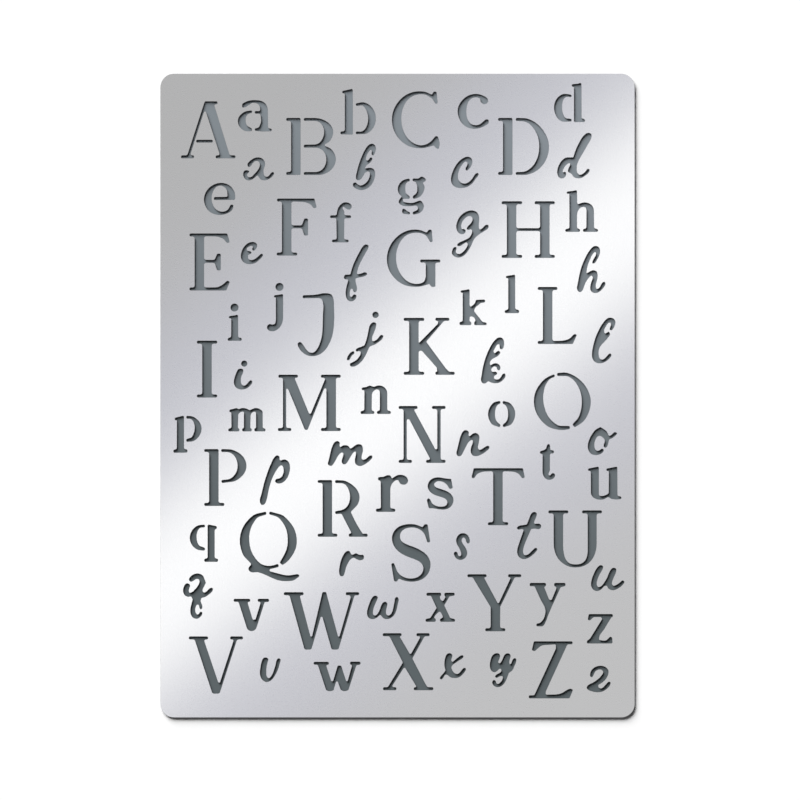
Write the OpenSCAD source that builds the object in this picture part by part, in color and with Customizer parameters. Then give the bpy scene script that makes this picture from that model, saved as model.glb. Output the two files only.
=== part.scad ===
// Lettering stencil: one thin steel plate with three alphabets cut through it.
//
// Everything is in millimetres. The plate lies flat on the XY plane and its
// thickness goes up in Z. The origin is the centre of the underside, and +Y
// points to the tops of the letters.

/* [Plate] */
// Width of the plate, across the lines of letters
plate_w = 140; // [140:1:180]
// Height of the plate, up the letters
plate_h = 190; // [190:1:250]
// Thickness of the steel sheet
plate_t = 0.5; // [0.3:0.1:1.2]
// Radius of the four corners
corner_r = 4; // [1:0.5:10]

/* [Letters] */
// Height of the capitals. Every other letter grows and shrinks with them
capital_h = 16.7; // [15:0.1:17.5]
// Width of the upright strokes of the capitals
stem_w = 2.75; // [2.25:0.05:2.9]
// Width of the thin strokes of the capitals
hair_w = 0.83; // [0.65:0.02:0.95]
// Thickness of the small feet at the ends of the strokes
foot_t = 0.86; // [0.66:0.02:0.96]

/* [Cutting] */
// How far the cutter opens every letter beyond its drawn edge, on each side
widen = 0.05; // [0:0.01:0.06]
// Radius the cutter leaves on the outer corners of a letter
tip_r = 0.34; // [0.1:0.02:0.4]
// Radius in the inner corners, where a foot meets its stroke
bracket_r = 0.6; // [0.1:0.05:0.8]

/* [Show] */
// Which piece to show

/* [Hidden] */
// Every piece of the part
// The letters are drawn below 16.7 high, and placed for a plate of 140 by 190.
// How much wider, higher and larger the plate and its letters are than that
field_x = plate_w / 140;
field_y = plate_h / 190;
grow = capital_h / 16.7;
// Height of the capitals in the letters' own drawn size
full = capital_h / grow;
// Stroke widths and radii in the letters' own drawn size, before the cut
// widens them
spread = widen / grow;
stem = stem_w / grow - 2 * spread;
hair = hair_w / grow - 2 * spread;
sole = foot_t / grow - 2 * spread;
tip = tip_r / grow;
bracket = bracket_r / grow;
// How far a straight piece of a curve may lie inside the true curve
curve_gap = 0.03;
gap = curve_gap / grow;

// How an outline is written
//
// A letter is a list of points walked once round its edge. A point with two
// numbers lies on a smooth curve. A point with a third number is a corner, and
// the number says how much of the cutter's corner radius it gets.

function flat(q) = [q[0], q[1]];

// The direction of a smooth curve at b, coming from a and going to c.
function lean(a, b, c) =
    let (u = norm(b - a), v = norm(c - b))
    ((b - a) * v / u + (c - b) * u / v) / (u + v);

// The direction at point i. A curve that comes from a corner, or runs on into
// one, is straight there.
function aim(p, i) =
    let (
        n = len(p),
        a = p[(i + n - 1) % n],
        b = p[i],
        c = p[(i + 1) % n],
        ac = len(a) == 3,
        cc = len(c) == 3
    )
    ac && !cc ? (flat(b) - flat(a)) / norm(flat(b) - flat(a))
    : cc && !ac ? (flat(c) - flat(b)) / norm(flat(c) - flat(b))
    : lean(flat(a), flat(b), flat(c));

// The angle between two directions.
function angle(u, v) = acos(max(-1, min(1, u * v / norm(u) / norm(v))));

// How many straight pieces a curve of this length and turn needs.
function pieces(length, turn) = max(1, ceil(sqrt(length * turn * PI / 180 / 8 / gap)));

// A point on the curve from b to c that leaves along s and arrives along e.
function along(b, c, s, e, t) =
    b * (2 * t * t * t - 3 * t * t + 1) + s * (t * t * t - 2 * t * t + t)
    + c * (3 * t * t - 2 * t * t * t) + e * (t * t * t - t * t);

// One span of the outline, from point i up to the next point.
function span(p, i) =
    let (
        n = len(p),
        b = flat(p[i]),
        c = flat(p[(i + 1) % n]),
        l = norm(c - b),
        bs = len(p[i]) == 2,
        cs = len(p[(i + 1) % n]) == 2,
        m = bs ? aim(p, i) * l : c - b,
        q = cs ? aim(p, (i + 1) % n) * l : c - b,
        s = bs ? m : 1.5 * (c - b) - 0.5 * q,
        e = cs ? q : 1.5 * (c - b) - 0.5 * m,
        k = (bs || cs) ? pieces(l, angle(s, c - b) + angle(c - b, e)) : 1
    )
    [for (j = [0 : k - 1]) j == 0 ? p[i] : along(b, c, s, e, j / k)];

// A point moved outwards, square to the outline on both its sides. Way is 1 for
// an outline walked anticlockwise.
function outward(p, i, way) =
    let (
        n = len(p),
        b = flat(p[i]),
        u = b - flat(p[(i + n - 1) % n]),
        v = flat(p[(i + 1) % n]) - b,
        s = way * [u[1], -u[0]] / norm(u),
        e = way * [v[1], -v[0]] / norm(v),
        m = b + spread * (s + e) / max(1 + s * e, 0.4)
    )
    len(p[i]) == 2 ? m : [m[0], m[1], p[i][2]];

// A corner cut back to an arc.
function ease(p, i, way) =
    let (
        n = len(p),
        b = flat(p[i]),
        u = flat(p[(i + n - 1) % n]) - b,
        v = flat(p[(i + 1) % n]) - b,
        turn = 180 - angle(u, v),
        left = cross(-u, v) > 0 ? 1 : -1,
        want = len(p[i]) == 2 ? 0 : p[i][2] * (left * way > 0 ? tip : bracket),
        d = min(want * tan(min(turn, 170) / 2), 0.49 * min(norm(u), norm(v))),
        r = d / tan(max(turn, 1) / 2),
        uu = u / norm(u),
        vv = v / norm(v),
        m = b + (uu + vv) / norm(uu + vv) * norm([r, d]),
        w = b + uu * d - m,
        k = pieces(r * turn * PI / 180, turn)
    )
    (len(p[i]) == 2 || turn < 12 || d < 0.03) ? [b] :
    [for (j = [0 : k]) let (a = left * turn * j / k)
        m + [w[0] * cos(a) - w[1] * sin(a), w[0] * sin(a) + w[1] * cos(a)]];

function sum(v, i = 0) = i < len(v) ? v[i] + sum(v, i + 1) : 0;

// One opening, cut along the outline.
module opening(p) {
    fine = [for (i = [0 : len(p) - 1]) each span(p, i)];
    n = len(fine);
    way = sign(sum([for (i = [0 : n - 1]) cross(flat(fine[i]), flat(fine[(i + 1) % n]))]));
    wide = [for (i = [0 : n - 1]) outward(fine, i, way)];
    polygon([for (i = [0 : n - 1]) each ease(wide, i, way)]);
}

// Feet and heads
//
// Each is the piece of outline round one end of a stroke whose edges are at l
// and r. The foot itself reaches from x0 to x1. Both are walked clockwise.

function head(x0, x1, l, r, y) = [
    [l, y - sole, 1], [x0, y - sole, 1], [x0, y, 1],
    [x1, y, 1], [x1, y - sole, 1], [r, y - sole, 1]
];

function foot(x0, x1, l, r, y = 0) = [
    [r, y + sole, 1], [x1, y + sole, 1], [x1, y, 1],
    [x0, y, 1], [x0, y + sole, 1], [l, y + sole, 1]
];

// An upright with both feet on its left side only.
function half_stem(x0, l, r, y) = [
    [l, y - sole, 1], [x0, y - sole, 1], [x0, y, 1], [r, y, 1],
    [r, 0, 1], [x0, 0, 1], [x0, sole, 1], [l, sole, 1]
];

// The middle arm of E and F with its upright end.
function tongue(x, y, up, down) = [
    [x - 1.7, y + hair / 2, 1], [x - 0.95, y + up, 1], [x, y + up, 1],
    [x, y - down, 1], [x - 0.95, y - down, 1], [x - 1.7, y - hair / 2, 1]
];

// Capitals
//
// Each stands on the line y = 0 with its left edge near x = 0.

module cap_a() {
    opening(concat(
        [[6.85, 16.1, 0.5], [7.05, full, 1], [10.7, full, 1],
         [10.7, full - sole, 1], [9.6, full - sole, 1]],
        foot(10.3, 16, 11.6, 14.3),
        [[7.04, 14.7, 0.6]],
        foot(0.05, 3.75, 1.87, 2.55)
    ));
    opening([[4.5, 5.35, 1], [9.3, 5.35, 1], [9.3, 4.65, 1], [4.5, 4.65, 1]]);
}

module cap_b() {
    opening(half_stem(0.1, 1.55, 1.55 + stem, full));
    opening([
        [5.3, full, 1], [8.6, full - 0.02], [10.6, 16.3], [12.3, 15.4], [13.5, 14.0],
        [13.85, 12.55], [13.5, 11.1], [12.35, 9.55], [10.8, 8.7, 0.6], [12.6, 7.95],
        [14.05, 6.5], [14.6, 4.9], [14.4, 3.3], [13.5, 1.75], [11.9, 0.55], [9.7, 0],
        [5.3, 0, 1], [5.3, hair, 1], [8.2, hair], [9.5, 0.85], [10.7, 1.5],
        [11.6, 2.8], [11.95, 4.4], [11.75, 5.8], [11.0, 7.1], [9.7, 7.9], [8.4, 8.05],
        [5.3, 8.05, 1], [5.3, 8.8, 1], [8.5, 8.85], [9.9, 9.4], [10.9, 10.8],
        [11.3, 12.45], [11.15, 13.7], [10.5, 15.0], [9.4, 15.8], [8, full - hair],
        [5.3, full - hair, 1]
    ]);
}

module cap_c() {
    opening([
        [8.35, 16.65], [6.2, 16.45], [4.1, 15.6], [1.5, 13.1], [0.25, 10.4], [0, 8.2],
        [0.5, 5.4], [2.3, 2.5], [5.06, 0.55], [8.4, 0], [10.7, 0.35], [12.3, 0.85, 0.6],
        [13.2, -0.15, 1], [13.75, -0.15, 1], [13.95, 1], [13.4, 3.4, 1], [12.8, 3.4, 1],
        [11.9, 2.3], [10.3, 1.1], [8.6, 0.7], [6.4, 1.3], [4.4, 3.0], [3.05, 5.66],
        [2.63, 8.4], [2.95, 11.2], [4.1, 13.7], [6, 15.35], [8.35, 15.93], [9.6, 15.85],
        [11, 15.2], [12.05, 14.35], [12.85, 13.1, 1], [13.4, 13.15, 1], [13.05, 16.55, 1],
        [12.3, 16.55, 1], [11.75, 15.6, 0.6], [10.2, 16.35]
    ]);
}

module cap_d() {
    opening(half_stem(0.05, 1.5, 1.5 + stem, full));
    opening([
        [5.27, full, 1], [7.6, full - 0.05], [9.96, 15.95], [12.3, 14.2], [14, 11.8],
        [14.8, 9.6], [14.9, 7.7], [14.4, 5.2], [12.86, 2.6], [10.5, 0.75], [7.85, 0.02],
        [5.27, 0, 1], [5.27, hair, 1], [7.06, 0.75], [8.9, 1.35], [10.6, 2.95],
        [11.8, 5.4], [12.2, 8.3], [11.86, 11], [10.8, 13.3], [9.2, 15.1],
        [7.3, full - 0.85], [5.27, full - hair, 1]
    ]);
}

module cap_e() {
    opening(concat(
        [[1.77, full - sole, 1], [0.26, full - sole, 1], [0.26, full, 1],
         [11.25, full, 1], [12.0, 14.2, 1], [11.3, 14.0, 1], [10.5, 14.95], [9.4, 15.6],
         [7.9, 15.95], [1.77 + stem, 16, 1], [1.77 + stem, 8.53 + hair / 2, 1]],
        tongue(9.35, 8.53, 2.2, 2.6),
        [[1.77 + stem, 8.53 - hair / 2, 1], [1.77 + stem, 0.75, 1], [8, 0.78],
         [9.6, 1.35], [10.6, 2.1], [11.3, 2.75, 1], [12.05, 2.55, 1], [11, 0, 1],
         [0.26, 0, 1], [0.26, sole, 1], [1.77, sole, 1]]
    ));
}

module cap_f() {
    opening(concat(
        [[1.55, full - sole, 1], [0.08, full - sole, 1], [0.08, full, 1],
         [11, full, 1], [11.65, 14.15, 1], [10.95, 13.95, 1], [10.2, 14.85],
         [9.2, 15.45], [7.7, 15.85], [1.55 + stem, 15.98, 1],
         [1.55 + stem, 8.42 + hair / 2, 1]],
        tongue(9.1, 8.42, 2.4, 2.5),
        [[1.55 + stem, 8.42 - hair / 2, 1]],
        foot(0, 5.9, 1.55, 1.55 + stem)
    ));
}

module cap_g() {
    opening([
        [13.4, 13.2, 1], [13.1, 16.7, 1], [12.25, 16.7, 1], [11.8, 15.8, 0.6],
        [10.2, 16.45], [8.35, 16.75], [6.3, 16.5], [4.4, 15.7], [1.7, 13.2], [0.3, 10.3],
        [0, 8.1], [0.5, 5.3], [2.3, 2.5], [5.06, 0.55], [8.4, 0], [10.6, 0.25],
        [12.5, 0.85, 0.6], [13.2, -0.05, 1], [14.2, -0.05, 1], [14.2, 7.15, 1],
        [15.65, 7.15, 1], [15.65, 7.9, 1], [9.85, 7.9, 1], [9.85, 7.15, 1],
        [11.5, 7.15, 1], [11.5, 2.9, 0.6], [11.2, 1.8], [10.2, 0.95], [8.6, 0.7],
        [6.4, 1.25], [4.3, 3.1], [3.05, 5.5], [2.56, 8.3], [2.9, 11], [4, 13.5],
        [5.85, 15.3], [8.35, 15.95], [10.4, 15.7], [11.9, 14.7], [12.8, 13.2, 1]
    ]);
}

module cap_h() {
    opening(concat(
        head(0, 5.9, 1.53, 1.53 + stem, full - 0.1),
        [[1.53 + stem, 8.65, 1], [11.35, 8.65, 1]],
        head(9.75, 15.55, 11.35, 11.35 + stem, full - 0.1),
        foot(9.75, 15.55, 11.35, 11.35 + stem),
        [[11.35, 7.95, 1], [1.53 + stem, 7.95, 1]],
        foot(0, 5.9, 1.53, 1.53 + stem)
    ));
}

module cap_i() {
    opening(concat(
        head(0.05, 5.9, 1.62, 1.62 + stem, full - 0.05),
        foot(0.05, 5.9, 1.62, 1.62 + stem)
    ));
}

module cap_j() {
    opening([
        [1.45, 16.05, 1], [4.7, 16.15], [8.65, 16.65], [9.8, 16.3], [10.4, 15.1],
        [10.55, 13], [10.55, 7.2], [10.0, 3.9], [8.7, 1.0], [7.06, -0.85], [4.95, -1.75],
        [3.0, -1.65], [1.2, -0.5], [0.2, 0.9], [0, 1.8], [0.55, 2.3], [1.2, 1.8],
        [2.2, 0.35], [3.3, -0.75], [4.3, -0.95], [5.3, -0.3], [6.4, 1.6], [7.1, 3.9],
        [7.35, 6.64], [7.45, 10.6], [7.4, 14.2], [6.9, 15.15], [5.8, 15.35], [1.45, 15.3, 1]
    ]);
}

module cap_k() {
    opening(concat(
        head(0, 5.9, 1.6, 1.6 + stem, full - 0.02),
        [[1.6 + stem, 9.3, 0.5], [4.7, 9.5, 0.5], [10.1, 15.0, 0.8],
         [10.2, full - sole, 1], [9.35, full - sole, 1], [9.35, full, 1],
         [13.3, full, 1], [13.3, full - sole, 1], [11.8, full - sole, 1.4],
         [6.45, 9.7, 0.6], [12.2, 1.9, 3]],
        foot(9.35, 14.9, 9.9, 13.3),
        [[9.75, 2.1, 1.4], [5.3, 7.1, 0.5], [1.6 + stem, 7.1, 1]],
        foot(0, 5.9, 1.6, 1.6 + stem)
    ));
}

module cap_l() {
    opening(concat(
        head(-0.05, 5.6, 1.48, 1.48 + stem, full),
        [[1.48 + stem, 0.75, 1], [6.3, 0.8], [8.1, 1.0], [9.6, 1.7], [10.6, 2.75, 1],
         [11.4, 2.75, 1], [10.2, 0, 1], [-0.05, 0, 1], [-0.05, sole, 1],
         [1.48, sole, 1]]
    ));
}

module cap_m() {
    opening(concat(
        head(0.2, 5.8, 1.55, 4.75, 16.5),
        [[9.15, 5, 0.6], [9.75, 5, 0.6]],
        head(12.75, 18.45, 14.2, 17.05, 16.5),
        foot(12.75, 18.45, 14.36, 17.05),
        [[14.36, 12.6, 1], [13.6, 12.6, 1], [8.7, 0.35, 1], [8.0, 0.35, 1],
         [3.0, 12.5, 1], [2.35, 12.5, 1]],
        foot(0.05, 3.87, 1.55, 2.35)
    ));
}

module cap_n() {
    opening(concat(
        head(0, 5.43, 1.45, 4.2, 16.67),
        [[10.7, 3.9, 0.6], [11.4, 3.9, 0.6]],
        head(9.83, 13.7, 11.4, 12.25, 16.67),
        foot(8.1, 13.7, 9.5, 12.25),
        [[3.1, 12.9, 1], [2.25, 12.9, 1]],
        foot(0, 3.77, 1.45, 2.25)
    ));
}

module cap_o() {
    opening([
        [6, 16.3, 1], [4.2, 15.5], [1.9, 13.5], [0.35, 10.7], [0, 8.3], [0.45, 5.6],
        [2.16, 2.7], [4.5, 0.75], [7.17, 0], [9, -0.05], [10.5, 0.2, 1], [10.5, 0.95, 1],
        [7.7, 1.0], [5.8, 2], [4, 4], [2.95, 6.7], [2.6, 9.3], [2.95, 12], [3.9, 14.15],
        [5, 15.2], [6, 15.55, 1]
    ]);
    opening([
        [6.85, 16.6, 1], [8.75, 16.75], [11.1, 16.15], [13.8, 14.3], [15.8, 11.6],
        [16.65, 8.7], [16.5, 6.5], [15.6, 4.0], [13.9, 1.9], [12.0, 0.7, 1],
        [11.4, 1.5, 1], [12.7, 2.9], [13.75, 5.1], [14.15, 7.5], [14, 10.1], [13.1, 12.7],
        [11.4, 14.9], [9.4, 15.85], [6.85, 15.85, 1]
    ]);
}

module cap_p() {
    opening(concat(
        [[1.55, 15.95, 1], [0.1, 15.95, 1], [0.1, 16.65, 1], [1.55 + stem, 16.65, 1]],
        foot(0.1, 5.9, 1.55, 1.55 + stem)
    ));
    opening([
        [5.1, 16.65, 1], [7.3, 16.6], [9.5, 15.95], [11.4, 14.5], [12.35, 12.6],
        [12.4, 11.2], [11.85, 9.7], [10.5, 8.2], [8.4, 7.15], [5.2, 6.75, 1],
        [5.2, 7.5, 1], [7.06, 7.7], [8.65, 8.6], [9.7, 10.2], [9.95, 12], [9.4, 14.1],
        [8.4, 15.3], [6.9, 15.9], [5.1, 15.95, 1]
    ]);
}

module cap_q() {
    opening([
        [7.7, 16.6, 1], [5.0, 16], [2.4, 14.1], [0.6, 11.3], [0, 8.5], [0.3, 5.8],
        [1.5, 3.2], [3.5, 1.15, 0.6], [2.75, 0.3], [2.55, -0.4], [3.2, -1.1],
        [5.3, -1.15], [8.26, -2.3], [11.1, -3.5], [13.9, -3.8], [16.3, -3.3], [17.6, -2.3, 1],
        [17, -1.85, 1], [14.8, -2.2], [11.5, -1.75], [8.7, -1, 0.6], [8.6, -0.3, 0.6],
        [11.35, 0.35, 1], [11.3, 1.2, 1], [9.9, 0.75], [8, 0.6], [6.1, 1.2], [4.5, 2.8],
        [3.15, 5.3], [2.65, 8.2], [2.85, 10.8], [4, 13.5], [5.6, 15.2], [7.7, 15.85, 1]
    ]);
    opening([
        [8.7, 16.65, 1], [11.9, 15.8], [14.3, 13.9], [16.1, 11.2], [16.7, 8.5],
        [16.4, 5.8], [15.07, 3.3], [13.5, 1.6], [12.5, 0.95, 1], [11.8, 1.6, 1],
        [13.3, 4.3], [14.05, 6.6], [14.15, 8.75], [13.75, 11.3], [12.5, 13.7],
        [10.7, 15.3], [8.7, 15.9, 1]
    ]);
}

module cap_r() {
    opening(concat(
        [[1.45, 15.9, 1], [0, 15.9, 1], [0, 16.6, 1], [1.45 + stem, 16.6, 1]],
        foot(0, 5.67, 1.45, 1.45 + stem)
    ));
    opening([
        [5.14, 16.6, 1], [7.3, 16.5], [9.5, 15.6], [11.4, 13.9], [12.2, 12], [12.1, 10.6],
        [11.2, 8.9], [9.6, 7.3, 0.6], [12.6, 1.6], [13.2, sole, 0.6], [14.6, sole, 1],
        [14.6, 0, 1], [9.17, 0, 1], [9.17, sole, 1], [10.05, 0.9, 0.8], [7.0, 6.8, 0.6],
        [5.14, 6.7, 1], [5.14, 7.4, 1], [6.8, 7.7], [8.3, 8.45], [9.25, 9.9],
        [9.55, 11.8], [9.2, 13.7], [8.3, 15.2], [7, 15.8], [5.14, 15.85, 1]
    ]);
}

module cap_s() {
    opening([
        [9.9, 16.65, 1], [10.7, 16.65, 1], [11.5, 11.5, 1], [10.75, 11.4, 1], [10.2, 13.2],
        [9, 14.9], [7.7, 15.6], [5.85, 15.85], [4, 15.4], [2.85, 14.4], [2.55, 13.1],
        [2.95, 11.8], [4.3, 10.85], [6.4, 10.05], [8.75, 8.95], [10.6, 7.45],
        [11.5, 5.6], [11.5, 4.0], [10.8, 2.1], [9.2, 0.6], [7, -0.1], [5.1, -0.1],
        [3.4, 0.3], [2.2, 0.75, 0.6], [1.7, -0.1, 1], [0.95, -0.1, 1], [0.1, 5.1, 1],
        [0.8, 5.2, 1], [1.6, 3.1], [2.95, 1.5], [4.5, 0.8], [6.3, 0.65], [8, 1.15],
        [9.2, 2.3], [9.6, 3.8], [9.1, 5.1], [7.9, 6.05], [5.6, 6.95], [3.2, 8.05],
        [1.37, 9.6], [0.45, 11.45], [0.35, 13.1], [0.97, 14.7], [2.4, 16.0], [4.3, 16.6],
        [6.1, 16.7], [7.9, 16.35], [9.3, 15.75, 0.6]
    ]);
}

module cap_t() {
    opening(concat(
        [[0.55, full, 1], [14.95, full, 1], [15.5, 14, 1], [14.85, 13.85, 1],
         [14, 14.95], [13, 15.55], [11.6, 15.85], [6.3 + stem, 15.95, 1]],
        foot(4.74, 10.6, 6.3, 6.3 + stem),
        [[6.3, 15.95, 1], [3.6, 15.85], [2.3, 15.5], [1.3, 14.95], [0.55, 13.85, 1],
         [-0.1, 14, 1]]
    ));
}

module cap_u() {
    opening(concat(
        head(0.2, 5.93, 1.75, 1.75 + stem, full - 0.05),
        [[1.75 + stem, 6.3], [4.65, 3.9], [5.25, 2.1], [6.4, 1.0], [8.1, 0.7],
         [9.8, 0.95], [11, 1.85], [11.65, 3.4], [11.8, 5.6]],
        head(10.15, 15.86, 11.8, 14.3, full - 0.05),
        [[14.3, 7], [14.1, 5], [13.3, 2.8], [11.9, 1.15], [10, 0.2], [8.1, -0.05],
         [6.4, 0.15], [4.7, 0.95], [3.1, 2.45], [2.1, 4.5], [1.75, 7]]
    ));
}

module cap_v() {
    opening(concat(
        head(0.08, 5.6, 1.75, 4.3, full - 0.05),
        [[8.65, 3, 0.6], [9.2, 3, 0.6]],
        head(12.25, 15.9, 13.4, 14.2, full - 0.05),
        [[9.0, -0.1, 1.6], [7.0, -0.1, 1.6]]
    ));
}

module cap_w() {
    opening(concat(
        head(0, 5.7, 1.65, 4.5, full - 0.2),
        [[7.75, 3.4, 0.6], [8.3, 3.4, 0.6], [11.4, 16.55, 1], [12.35, 16.55, 1],
         [15.9, 3.4, 0.6], [16.4, 3.4, 0.6]],
        head(18.3, 22.1, 19.95, 20.75, full - 0.2),
        [[16, -0.3, 1.6], [14.1, -0.3, 1.6], [11.35, 9.4, 0.5], [10.8, 9.4, 0.5],
         [8, -0.3, 1.6], [6.1, -0.3, 1.6]]
    ));
}

module cap_x() {
    opening(concat(
        head(0, 5.43, 1.95, 4.75, full),
        [[8.1, 10.2, 0.6]],
        head(9.96, 13.7, 11.3, 12.25, full),
        [[8.6, 9.3, 0.6], [12.35, 2.0, 3]],
        foot(9.17, 14.8, 10.1, 13.1),
        [[6.35, 7.0, 0.6]],
        foot(0.08, 3.9, 1.45, 2.35),
        [[5.95, 8.1, 0.6]]
    ));
}

module cap_y() {
    opening(concat(
        head(0.2, 5.7, 1.7, 4.85, full),
        [[9.25, 7.75, 0.5]],
        head(12.2, 15.94, 13.1, 14.05, full),
        [[9.75, 7.2, 0.6]],
        foot(5.45, 11.25, 7.05, 7.05 + stem),
        [[7.05, 7.1, 0.6]]
    ));
}

module cap_z() {
    opening([
        [1.5, full, 1], [12.8, full, 1], [12.8, 15.95, 1], [11.3, 15.95, 1],
        [4.9, 2, 0.6], [4.8, 0.95, 0.6], [7.8, 1.0], [9.9, 1.5], [11.3, 2.4],
        [12.1, 2.75, 1], [12.95, 2.5, 1], [11.9, 0, 1], [0, 0, 1], [0, sole, 1],
        [1.6, sole, 1], [8, 14.6, 0.6], [8, 15.95, 0.6], [4.8, 15.75], [3.1, 15.2],
        [1.7, 13.95, 1], [0.9, 14.15, 1]
    ]);
}

// Small upright letters
//
// Their strokes are read one by one, because the letters are not all cut to
// the same size. The short slanting head of an upright is walked clockwise.

// Slanting head from the left end x0 and y0 over to the right edge at y1.
function flag(x0, l, r, y0, y1) = [
    [l, y0 - 0.35, 1], [x0, y0 - 0.6, 1], [x0, y0, 1], [r - 0.9, (y0 + y1) / 2, 1],
    [r, y1, 1]
];

module small_a() {
    opening([
        [1.3, 7.1, 1], [1.3, 7.9], [2.1, 8.55], [3.3, 9.0], [5.2, 9.15], [6.9, 8.9],
        [8.0, 8.2], [8.6, 7.1], [8.75, 5.8], [8.8, 0.85, 1], [9.9, 0.7, 1], [9.9, 0.1, 1],
        [7.3, 0, 0.6], [5.2, 0.2, 1], [4.9, 0.75, 1], [5.9, 1.0], [6.6, 2.0], [6.9, 3.2],
        [6.7, 5.25, 0.8], [5, 5.3, 1], [5, 5.95, 1], [6.6, 5.9, 0.8], [6.6, 6.8],
        [6.2, 7.9], [5.2, 8.45], [3.9, 8.35], [3.1, 7.8], [2.3, 7.25], [1.7, 7.1]
    ]);
    opening([
        [4.1, 6.15, 1], [2.5, 5.9], [1.2, 5.2], [0.25, 4.1], [0.02, 3.0], [0.3, 1.8],
        [1.2, 0.7], [2.5, 0.1], [4.1, 0.1, 1], [4.0, 0.8, 1], [2.8, 1.5], [2.2, 3.0],
        [2.45, 4.6], [3.2, 5.3], [4.1, 5.5, 1]
    ]);
}

module small_b() {
    opening([
        [1.5, 12.3, 1], [0.75, 12.1, 1], [0.75, 12.75, 1], [3.7, 13.4, 1], [3.75, 0, 1],
        [0.2, 0.1, 1], [0.2, 0.8, 1], [1.5, 0.85, 1]
    ]);
    opening([
        [4.75, 9.1, 1], [6.3, 9.4], [8.0, 9.05], [9.5, 7.8], [10.35, 6.1], [10.5, 4.4],
        [9.9, 2.2], [8.7, 0.8], [7.3, 0.2], [4.75, 0.1, 1], [4.75, 0.8, 1], [6.1, 0.75],
        [7.3, 1.35], [8.1, 2.8], [8.4, 4.7], [8.1, 6.5], [7.4, 7.9], [6.4, 8.65],
        [4.75, 8.45, 1]
    ]);
}

module small_c() {
    opening([
        [8.85, 8.3], [8.6, 8.95], [7.6, 9.6], [6.2, 10.1], [4.7, 10.15], [2.9, 9.6],
        [1.2, 8.2], [0.25, 6.6], [0, 5.2], [0.3, 3.4], [1.3, 1.6], [2.9, 0.4], [4.8, 0],
        [6.5, 0.3], [8.3, 1.1], [9.0, 1.7], [9.05, 2.6, 1], [8.3, 2.7, 0.6], [6.9, 1.5],
        [5.4, 0.95], [3.9, 1.3], [2.9, 2.5], [2.45, 4.2], [2.5, 6.2], [3.0, 7.9],
        [4.2, 9.1], [5.6, 9.3], [6.6, 8.9], [6.8, 8.0], [7.5, 7.35], [8.4, 7.45]
    ]);
}

module small_d() {
    opening([
        [5.1, 7.95, 1], [3.4, 8.2], [1.6, 7.6], [0.4, 6.0], [0.05, 4.3], [0.4, 2.4],
        [1.5, 0.7], [3, 0.1], [5.1, 0.15, 1], [5.1, 0.8, 1], [3.7, 0.95], [2.7, 2],
        [2.3, 3.8], [2.4, 5.7], [3.0, 7.1], [4.0, 7.5], [5.1, 7.3, 1]
    ]);
    opening([
        [5.95, 10.5, 1], [5.3, 10.4, 1], [5.3, 11.05, 1], [7.1, 11.2, 0.6], [8.0, 11.6, 1],
        [8.05, 0.9, 1], [8.55, 0.95, 0.6], [9.1, 0.5, 1], [9.0, 0, 1], [5.95, 0, 1]
    ]);
}

module small_e() {
    opening([
        [2.95, 5.05, 1], [2.95, 4.3, 1], [9.1, 4.35, 1], [9.1, 5.6], [8.6, 7.2],
        [7.3, 8.6], [5.6, 9.2], [3.9, 9.1], [2.0, 8.2], [0.5, 6.4], [0, 4.4],
        [0.4, 2.6], [1.6, 0.9], [3.3, 0.05], [5.1, -0.1], [6.9, 0.4], [8.0, 1.1],
        [8.5, 1.9], [8.6, 2.8, 1], [7.9, 2.8, 1], [7.3, 1.7], [6.2, 0.85], [4.9, 0.75],
        [3.6, 1.3], [2.6, 2.6], [2.15, 4.4], [2.5, 6.6], [3.6, 8.2], [4.9, 8.55],
        [6.3, 7.9], [6.9, 6.6], [7.0, 5.1, 0.6]
    ]);
}

module small_f() {
    opening([
        [0.05, 8.15, 1], [1.95, 8.15, 0.8], [2.2, 9.7], [2.9, 11.1], [4.1, 11.95],
        [5.2, 11.9], [6.15, 11.3], [6.3, 10.7], [5.6, 9.95], [4.7, 10.3], [3.8, 10.85],
        [3.6, 10.3], [4.1, 9.2], [4.1, 8.15, 0.8], [6.1, 8.15, 1], [6.1, 7.45, 1],
        [4.1, 7.4, 0.8], [4.05, 1.05, 0.8], [5.4, 0.95, 1], [5.4, 0.3, 1], [0.6, 0.3, 1],
        [0.6, 0.95, 1], [2.0, 1.05, 0.8], [1.9, 7.45, 0.8], [0.05, 7.45, 1]
    ]);
}

module small_g() {
    opening([
        [3.4, 6.05, 1], [2.3, 5.8], [1.1, 5.2], [0.2, 3.9], [0.02, 2.8], [0.4, 1.6],
        [1.2, 0.7], [0.9, 0.35], [0.5, -0.2], [0.3, -0.9], [0.9, -1.6], [2.1, -2.0],
        [4.3, -1.95], [5.6, -1.9], [6.0, -2.6], [5.7, -3.3], [4.4, -3.9, 1],
        [4.5, -4.55, 1], [6.0, -4.2], [7.1, -3.4], [7.6, -2.2], [7.3, -1.2],
        [6.6, -0.5], [5.9, -0.65], [4.6, -1.15], [2.7, -1.1], [1.5, -0.7], [1.4, 0.0],
        [2.0, 0.15], [3.45, 0.15, 1], [3.4, 0.8, 1], [2.5, 1.5], [2.1, 2.9], [2.3, 4.5],
        [2.9, 5.2], [3.5, 5.35, 1]
    ]);
    opening([
        [4.4, 6.05, 1], [5.9, 6.0], [7.0, 6.6], [7.7, 6.3], [8.2, 5.65], [7.8, 5.2],
        [7.2, 4.9, 0.6], [7.7, 4.0], [7.6, 2.5], [6.9, 1.2], [5.8, 0.4], [4.6, 0.1, 1],
        [4.4, 0.75, 1], [5.4, 1.6], [5.8, 3.1], [5.5, 4.7], [5.1, 5.2], [4.4, 5.4, 1]
    ]);
    opening([
        [1.4, -2.85, 1], [2.0, -3.0], [2.7, -3.6], [3.5, -3.9, 1], [3.5, -4.5, 1],
        [2.4, -4.35], [1.6, -4.2], [1.3, -3.7]
    ]);
}

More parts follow.
